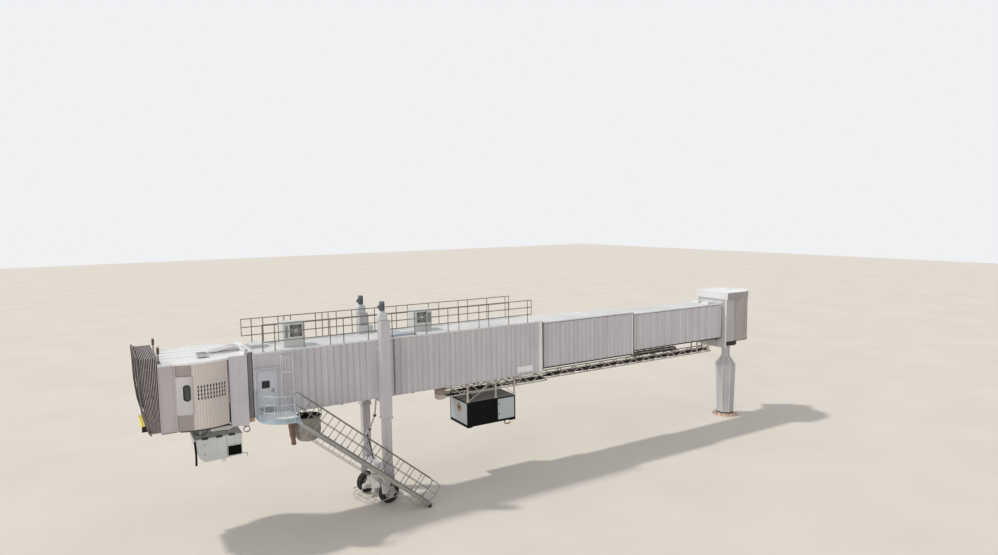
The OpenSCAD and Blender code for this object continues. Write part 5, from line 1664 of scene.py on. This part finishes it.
put(lathes("spare_cable_relief", relief, [spare_path[0]], 16), rubber_black, "tunnel_c")


# Cab floor and roof
# The round floor turns on a dark track ring. The roof is a sheet-metal lid with a rolled edge and shallow
# seams, and two amber warning lamps stand on poles at its front corners.
dress(floor_steel, "cab_floor")
dress(roof_paint, "cab_roof")
cab = (34.05, -0.53)
rollers = [
    (cab[0] + 1.54 * math.cos(a), cab[1] + 1.54 * math.sin(a), 5.20)
    for a in np.radians(np.arange(0, 360, 30))
]
put(
    lathes("floor_rollers", [(0.002, 0), (0.05, 0), (0.05, 0.05), (0.002, 0.05)], rollers, 12), dark_steel,
    "cab"
)
floor_edge = [(1.82, 5.335), (1.842, 5.335), (1.842, 5.40), (1.82, 5.40), (1.82, 5.335)]
arc = np.radians(np.linspace(40, 320, 97))[:, None]
edge_profile = np.array(floor_edge)
edge_grid = np.stack(
    [
        cab[0] + edge_profile[:, 0] * np.cos(arc), cab[1] + edge_profile[:, 0] * np.sin(arc),
        np.broadcast_to(edge_profile[:, 1], (97, 5))
    ],
    -1
)
put(
    mesh_of("floor_edge_trim", edge_grid, grid_faces(97, 5), np.array([[3, 2, 1, 0], [480, 481, 482, 483]])),
    dark_steel, "cab"
)
seam_y = np.array([-1.55, -0.85, -0.15, 0.55])
seam_len = np.sqrt(2.05**2 - seam_y**2)
low = np.stack([cab[0] - seam_len, cab[1] + seam_y - 0.012, np.full(4, 8.286)], 1)
high = np.stack([np.full(4, cab[0] + 1.62), cab[1] + seam_y + 0.012, np.full(4, 8.304)], 1)
put(boxes("cab_roof_seams", low, high), roof_paint, "cab", bevel=0.003)
rim_a = np.radians(np.linspace(57.7, 302.3, 97))
rim = np.stack([cab[0] + 2.083 * np.cos(rim_a), cab[1] + 2.083 * np.sin(rim_a), np.full(97, 8.286)], 1)
front_rim = [[cab[0] + 1.635, cab[1] + 1.765, 8.286]], [[cab[0] + 1.635, cab[1] - 1.765, 8.286]]
put(
    hose("cab_roof_rolled_edge", np.vstack([front_rim[0], rim, front_rim[1], front_rim[0]]), 0.012),
    roof_paint, "cab"
)
lamp_look = coat(
    "amber lamp lens", (106, 60, 46), 0.25, drift=0.10, streaks=0.05, dust=0.05, dirt=(96, 50, 30)
)
pole_look = coat("lamp pole paint", (120, 92, 76), 0.5, drift=0.10, dust=0.10)
lens = [
    (0.002, 0.0), (0.050, 0.0), (0.056, 0.02), (0.056, 0.15), (0.050, 0.20), (0.030, 0.235), (0.002, 0.245)
]
collar = [(0.018, 0.0), (0.058, 0.0), (0.058, 0.05), (0.030, 0.07), (0.018, 0.07)]
for word, y in (("near", cab[1] + 1.28), ("far", cab[1] - 1.15)):
    put(lathes(f"lamp_lens_{word}", lens, [(35.61, y, 8.745)], 24), lamp_look, "cab")
    put(lathes(f"lamp_collar_{word}", collar, [(35.61, y, 8.68)], 20), dark_steel, "cab")
    put(
        lathes(
            f"lamp_foot_{word}", [(0.018, 0), (0.07, 0), (0.07, 0.012), (0.024, 0.05), (0.018, 0.05)],
            [(35.61, y, 8.29)], 20
        ),
        pole_look, "cab"
    )
    put(
        lathes(
            f"lamp_pole_{word}", [(0.002, 0), (0.0235, 0), (0.0235, 0.41), (0.002, 0.41)], [(35.61, y, 8.29)],
            12
        ),
        pole_look, "cab"
    )


# Cab side panels and curtains
# Pale folded panels stand each side of the front, and slatted curtains of warm painted steel run round the
# drum behind their lips. Four rows of ten ventilation slots are punched through the slats on the stair side.
for side, word in ((1, "near"), (-1, "far")):
    y = cab[1] + side * 1.74
    fold_low = [
        [cab[0] + 1.0, min(y, y + side * 0.012), 5.39], [cab[0] + 1.612, min(y, y + side * 0.012), 5.39],
        [cab[0] + 1.03, min(y, y + side * 0.012), 5.385]
    ]
    fold_high = [
        [cab[0] + 1.03, max(y, y + side * 0.012), 8.19], [cab[0] + 1.642, max(y, y + side * 0.012), 8.19],
        [cab[0] + 1.62, max(y, y + side * 0.012), 5.42]
    ]
    put(boxes(f"cab_panel_folds_{word}", fold_low, fold_high), front_paint, "cab", bevel=0.004)
curtain_ends = {"near": (62.5, 121), "far": (-62.5, -146)}

def drum_band(angles, r, low, high):
    """Two arcs about the cab's centre at radius r, one at each height, as a grid of points."""
    x = cab[0] + r * np.cos(angles)
    y = cab[1] + r * np.sin(angles)
    return np.stack([np.stack([x, y, np.full(len(angles), z)], -1) for z in (low, high)])


for word, (cab_end, neck_end) in curtain_ends.items():
    first, last = sorted((cab_end, neck_end))
    name = f"cab_curtain_{word}"
    slats = slat_curtain(name + "_slats", cab, 2.049, first, last, 5.35, 8.195, 3.44, 0.016, 0.016)
    dress_slats(slats, slat_paint, slat_groove)
    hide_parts(name)
    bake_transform(slats)
    for where, (z0, z1) in (("top", (8.09, 8.185)), ("foot", (5.345, 5.40))):
        a = np.radians(np.linspace(first + 0.6, last - 0.6, 40))
        track_rail = put(
            shell(f"curtain_{where}_rail_{word}", drum_band(a, 2.056, z0, z1), drum_band(a, 2.046, z0, z1)),
            slat_paint if where == "top" else dark_steel
        )
        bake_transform(track_rail)

slot_look = coat("dark slot", (44, 40, 38), 0.7, drift=0.1, streaks=0.0, dust=0.05)
slot_a = np.linspace(0, 2 * np.pi, 12, endpoint=False)
slot_width, slot_height = 0.80 * np.cos(slot_a), 0.072 * np.sign(
    np.sin(slot_a)
) * np.abs(np.sin(slot_a)) ** 0.6
slot_column, slot_row = np.meshgrid(62.5 + 58.5 / 17 * (np.arange(10) + 6.5), 6.735 + 0.165 * np.arange(4))
slot_deg = np.radians(slot_column.reshape(-1, 1) + slot_width)
slot_z = slot_row.reshape(-1, 1) + slot_height
slot_front = np.stack([cab[0] + 2.0515 * np.cos(slot_deg), cab[1] + 2.0515 * np.sin(slot_deg), slot_z], -1)
slot_faces = np.arange(40 * 12).reshape(40, 12)
slots = put(mesh_of("curtain_slots", slot_front, slot_faces), slot_look)
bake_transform(slots)
shade_paint = coat(
    "shaded strip paint", (166, 155, 151), 0.5, streaks=0.10, drift=0.05, dirt=(110, 98, 90),
    slot="curtain_slats"
)
for word, z0, z1 in (("over", 7.74, 8.188), ("under", 5.40, 6.05)):
    strip = slat_curtain(f"door_strip_{word}", cab, 2.066, 60.4, 78.4, z0, z1, 3.0, 0.012, 0.010)
    dress_slats(strip, shade_paint, slat_groove)
    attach(strip, "cab")


# Door panel with its oval window
# A curved white panel stands proud of the curtain, with a riveted edge and a tall window with round ends:
# dark green-grey glass in a thick rubber surround.
door_white = coat(
    "door panel paint", (200, 196, 197), 0.4, streaks=0.08, drift=0.05, dirt=(140, 130, 126),
    slot="wall_paint"
)
dress(door_white, "cab_window_panel")
window_glass = coat(
    "dark window glass", (70, 76, 74), 0.08, drift=0.3, streaks=0.0, dust=0.02, grain=0.0, size=0.6
)


def oval_grid(half, straight, rows):
    """Round-ended outline for each of rows: x = half cos a, z = half sin a, pushed apart by straight."""
    a = np.linspace(0, 2 * np.pi, 49)[:-1]
    x = np.cos(a)[None] * (half + np.asarray(rows))[:, None]
    z = np.sin(a)[None] * (half + np.asarray(rows))[:, None] + np.where(
        np.sin(a) >= 0, straight, -straight
    )[None]
    return x, z


def bent(x, z, radius, middle_x, middle_z):
    """Lays an outline on the drum of that radius round the cab's centre."""
    px = middle_x + x
    radius = np.broadcast_to(radius, px.shape)
    return np.stack([cab[0] + px, cab[1] + np.sqrt(radius**2 - px**2), middle_z + z], -1)


x, z = oval_grid(0.155, 0.21, (0.030, 0.030, 0.0, -0.018, -0.018))
radius = np.array([2.088, 2.097, 2.103, 2.098, 2.060])[:, None]
frame_face = mesh_of("window_frame", bent(x, z, radius, 0.62, 7.02), grid_faces(5, 48, wrap_cols=True))
put(frame_face, door_white, "cab")
x, z = oval_grid(0.155, 0.21, (-0.014, -0.014, -0.026, -0.044, -0.044))
radius = np.array([2.070, 2.108, 2.114, 2.104, 2.060])[:, None]
put(
    mesh_of("window_rubber", bent(x, z, radius, 0.62, 7.02), grid_faces(5, 48, wrap_cols=True)), rubber_black,
    "cab"
)
x, z = oval_grid(0.155, 0.21, (-0.010, -0.06, -0.11, -0.154))
pane = bent(x, z, 2.072, 0.62, 7.02)
put(
    mesh_of("window_pane", pane, grid_faces(4, 48, wrap_cols=True), np.arange(144, 192)[None]), window_glass,
    "cab"
)
rivet_a = np.radians([64.2, 77.2])
rivet_z = np.arange(6.16, 7.70, 0.16)
rivets = [
    (cab[0] + 2.093 * math.cos(a), cab[1] + 2.093 * math.sin(a) - 0.002, z) for a in rivet_a for z in rivet_z
]
put(
    lathes("door_panel_rivets", [(0.002, 0), (0.012, 0), (0.009, 0.007), (0.002, 0.007)], rivets, 8, "y"),
    zinc, "cab"
)
lip_a = np.radians(np.linspace(61.2, 78.3, 12))
for word, z0 in (("top", 7.716), ("foot", 6.062)):
    lip = [drum_band(lip_a, r, z0, z0 + 0.022) for r in (2.108, 2.058)]
    put(shell(f"door_panel_{word}_strip", *lip), shade_paint, "cab")


# Bumper
# Moulded yellow rubber across the cab's nose, ribbed along its face, with black end blocks bolted on.
bumper_yellow = coat(
    "yellow bumper rubber", (236, 218, 110), 0.6, streaks=0.10, dirt=(140, 116, 70), slot="yellow_rubber"
)
dress(bumper_yellow, "bumper")
rib_z = np.array([5.34, 5.40, 5.46])
low = np.stack([np.full(3, 36.335), np.full(3, -1.75), rib_z], 1)
high = np.stack([np.full(3, 36.352), np.full(3, 0.17), rib_z + 0.03], 1)
put(boxes("bumper_ribs", low, high), bumper_yellow, "cab", bevel=0.006)
put(
    boxes(
        "bumper_ends", [[36.13, 0.216, 5.295], [36.13, -1.812, 5.295]],
        [[36.35, 0.24, 5.545], [36.35, -1.79, 5.545]]
    ),
    rubber_black, "cab", bevel=0.01
)


# Power unit
# A painted steel cabinet bolted under the cab. Its top front edge has three dark slots, a black louvre
# takes the tunnel side, a ring hangs under it, and a black webbing strap hangs from the outer end.
dress(unit_white, "power_unit")
slot_x = np.array([32.75, 33.28, 33.86])
low = np.stack([slot_x, np.full(3, 0.62), np.full(3, 4.756)], 1)
high = np.stack([slot_x + 0.26, np.full(3, 0.835), np.full(3, 4.766)], 1)
put(boxes("power_unit_top_slots", low, high), unit_dark, "cab", bevel=0.003)
put(
    boxes(
        "power_unit_slot_fronts", np.stack([slot_x, np.full(3, 0.826), np.full(3, 4.71)], 1),
        np.stack([slot_x + 0.26, np.full(3, 0.836), np.full(3, 4.762)], 1)
    ),
    unit_dark, "cab"
)
put(boxes("power_unit_louvre_back", [[32.505, 0.772, 3.815]], [[33.065, 0.78, 4.245]]), unit_black, "cab")
put(
    louvres("power_unit_louvre_blades", 32.51, 33.06, 3.82, 4.24, 0.788, 10, 0.010), unit_black, "cab",
    bevel=0.002
)
put(
    boxes(
        "power_unit_seams", [[33.10, 0.798, 3.76], [32.50, 0.798, 4.30]],
        [[33.112, 0.803, 4.70], [33.10, 0.803, 4.312]]
    ),
    unit_dark, "cab"
)
put(
    frame_round("power_unit_door", 33.16, 34.02, 3.86, 4.60, 0.797, 0.804, 0.008), unit_white, "cab",
    bevel=0.002
)
put(
    boxes(
        "power_unit_hinges", [[34.015, 0.80, z] for z in (4.0, 4.42)],
        [[34.045, 0.818, z + 0.1] for z in (4.0, 4.42)]
    ),
    zinc, "cab", bevel=0.003
)
strap_z = np.linspace(4.72, 3.62, 15)
strap_x = 34.345 + 0.012 * np.sin(4.3 * strap_z)
strap_grid = np.stack(
    [np.column_stack([strap_x + d, 0.812 + 0.010 * np.sin(5 * strap_z), strap_z]) for d in (0.0, 0.085)]
)
put(shell("end_strap", strap_grid, strap_grid + [0, 0.007, 0]), unit_black, "cab")
put(boxes("end_strap_clamp", [[34.335, 0.80, 4.69]], [[34.44, 0.832, 4.735]]), zinc, "cab", bevel=0.003)
ring_t = np.linspace(0, 2 * np.pi, 33)
ring_line = np.stack([33.25 + 0.07 * np.cos(ring_t), np.full(33, 0.72), 3.645 + 0.07 * np.sin(ring_t)], 1)
put(hose("lifting_ring", ring_line, 0.012), zinc, "cab")
put(boxes("lifting_ring_lug", [[33.235, 0.69, 3.70]], [[33.265, 0.75, 3.775]]), zinc, "cab", bevel=0.003)
put(
    bars(
        "side_rod", [(32.48, 0.70, 3.80), (32.25, 0.70, 3.765)], [(32.24, 0.70, 3.765), (32.25, 0.70, 3.60)],
        0.014, 8
    ),
    zinc, "cab"
)
loop_relief = [(0.002, 0.02), (0.042, 0.02), (0.042, 0.0), (0.034, -0.008), (0.022, -0.050), (0.002, -0.050)]
put(lathes("cab_loop_reliefs", loop_relief, [cab_loop_path[0], cab_loop_path[-1]], 16), rubber_black, "cab")
put(
    boxes(
        "hanger_cross_angles", [[32.84, -0.55, 5.17], [34.04, -0.55, 5.17]],
        [[32.96, 0.33, 5.335], [34.16, 0.33, 5.335]]
    ),
    dark_steel, "cab", bevel=0.004
)


# Canopy
# A folding hood of coated cloth, gathered between the cab's front and a bowed steel hoop that swings forward
# on two pins. It is one sheet in deep pleats; its colour is painted light and shade of the folds, pale on the
# crests and dark in the valleys.
def folded_cloth(name, colour, crest):
    """The sheet's own UV: u is the height of the fold from valley to crest, v the way along the arch. The
    colour runs from the dark cloth colour in the valleys to the pale crest colour: painted shade in the
    valleys and painted highlight on the crests.
    """
    look = coat(
        name, colour, 0.8, drift=0.14, streaks=0.10, dust=0.12, dirt=(60, 54, 52), grain=0.5,
        slot="bellows_fabric"
    )
    tree = look.node_tree
    base = tree.nodes["Principled BSDF"]
    tone = base.inputs["Base Color"].links[0].from_socket
    uv = tree.nodes.new("ShaderNodeUVMap")
    uv.uv_map = "folds"
    part = tree.nodes.new("ShaderNodeSeparateXYZ")
    tree.links.new(uv.outputs["UV"], part.inputs["Vector"])
    crest_light = tree.nodes.new("ShaderNodeMapRange")
    crest_light.inputs["From Min"].default_value = 0.50
    crest_light.inputs["From Max"].default_value = 0.92
    crest_light.inputs["To Max"].default_value = 0.95
    tree.links.new(part.outputs["X"], crest_light.inputs["Value"])
    mixed = tree.nodes.new("ShaderNodeMix")
    mixed.data_type = "RGBA"
    mixed.inputs["B"].default_value = linear(crest)
    tree.links.new(tone, mixed.inputs["A"])
    tree.links.new(crest_light.outputs["Result"], mixed.inputs["Factor"])
    tree.links.new(mixed.outputs["Result"], base.inputs["Base Color"])
    return look


hood_cloth = folded_cloth("pleated hood cloth", (66, 60, 59), (226, 217, 215))
arch_z = np.array([5.40, 5.70, 6.275, 7.165, 8.09, 8.60])
arch_x = np.array([1.972, 2.075, 2.215, 2.30, 2.318, 2.345])
folds = 11
t = np.linspace(0, 1, folds * 8 + 1)
s_side = np.linspace(0, 1, 41)[:-1]
s_top = np.linspace(0, 1, 33)[:-1]
outline_y = np.concatenate([np.full(40, 1.0), 1 - 2 * s_top, np.full(41, -1.0)])
outline_z = np.concatenate([5.42 + s_side * 3.18, np.full(32, 8.60), 8.60 - np.linspace(0, 1, 41) * 3.18])
corner_round = np.clip((np.abs(outline_y) - 0.93) / 0.07, 0, 1) * (outline_z > 8.59)
wander = 0.25 * np.sin(outline_z * 2.1 + 1.0)[:, None] * np.sin(np.pi * t)[None] / folds
depth_at = (0.115 - 0.02 * np.sin(2.6 * outline_z)[:, None]) * (
    1 + 0.18 * np.sin(7 * t * np.pi + outline_z[:, None])
)
level = np.abs((((t[None] + wander) * folds) % 1.0) - 0.5) * 2
inward = depth_at * (1 - level)
front_x = np.interp(outline_z, arch_z, arch_x)[:, None]
px = 1.645 + (front_x - 1.645) * t[None]
on_top = ((outline_z > 8.59) & (np.abs(outline_y) < 0.999))[:, None]
py = np.where(on_top, outline_y[:, None] * 1.715, np.sign(outline_y)[:, None] * (1.715 - inward))
pz = np.where(
    on_top, 8.605 + 0.085 * t[None] ** 1.5 - inward - 0.02 * corner_round[:, None],
    outline_z[:, None] + 0 * t[None]
)
cloth_points = np.stack([cab[0] + px, cab[1] + py, pz], -1)
pleats = mesh_of("canopy_pleats", cloth_points, grid_faces(*px.shape))
uv_layer = pleats.data.uv_layers.new(name="folds")
corner_vertex = np.empty(len(pleats.data.loops), int)
pleats.data.loops.foreach_get("vertex_index", corner_vertex)
along_arch = np.broadcast_to(np.linspace(0, 9.8, len(outline_z))[:, None], level.shape)
uv_layer.uv.foreach_set(
    "vector", np.stack([level.ravel()[corner_vertex], along_arch.ravel()[corner_vertex]], 1).ravel()
)
put(pleats, hood_cloth)
cloth_wall = pleats.modifiers.new("cloth thickness", "SOLIDIFY")
cloth_wall.thickness = 0.004
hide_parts("canopy_bellows")
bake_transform(pleats)
across = np.linalg.norm(np.diff(cloth_points, axis=1), axis=2).sum(1).mean()

dress(
    coat("hoop paint", (104, 92, 84), 0.5, metal=0.2, drift=0.12, dust=0.12, dirt=(110, 102, 98)),
    "canopy_hoop"
)
face_z = np.array([5.36, 5.61, 6.27, 7.16, 8.09, 8.70])
face_x = np.array([2.050, 2.140, 2.296, 2.382, 2.400, 2.430])
pad_z = np.linspace(5.62, 8.66, 50)
pad_x = np.interp(pad_z, face_z, face_x)
pad_look = coat(
    "canopy edge pad", (52, 49, 49), 0.75, drift=0.15, dust=0.2, dirt=(120, 110, 106), grain=0.4,
    slot="bellows_fabric"
)
for side, word in ((1, "near"), (-1, "far")):
    for k, inset in enumerate((1.70, 1.56, 1.42)):
        line = np.column_stack([cab[0] + pad_x - 0.012, np.full(50, cab[1] + side * inset), pad_z])
        put(hose(f"edge_pad_{word}_{k}", line, 0.034, 8), pad_look, "canopy")
    line = np.column_stack([cab[0] + pad_x - 0.03, np.full(50, cab[1] + side * 1.735), pad_z])
    put(hose(f"hoop_rim_{word}", line, 0.014, 6), zinc, "canopy")
top_y = np.linspace(-1.72, 1.72, 30)
for k, z in enumerate((8.64, 8.50, 8.36)):
    x_at = cab[0] + float(np.interp(z, face_z, face_x)) - 0.012
    put(
        hose(
            f"edge_pad_top_{k}", np.column_stack([np.full(30, x_at), cab[1] + top_y, np.full(30, z)]), 0.034,
            8
        ),
        pad_look, "canopy"
    )
for side, word in ((1, "near"), (-1, "far")):
    pin_face = (cab[0] + 2.04, cab[1] + side * 1.41 - (0.0 if side > 0 else 0.016), 5.45)
    put(
        lathes(
            f"canopy_pin_cap_{word}",
            [(0.002, 0), (0.045, 0), (0.045, 0.010), (0.036, 0.016), (0.002, 0.016)], [pin_face], 16, "y"
        ),
        zinc, "cab"
    )


bpy.context.scene.view_settings.view_transform = "Standard"
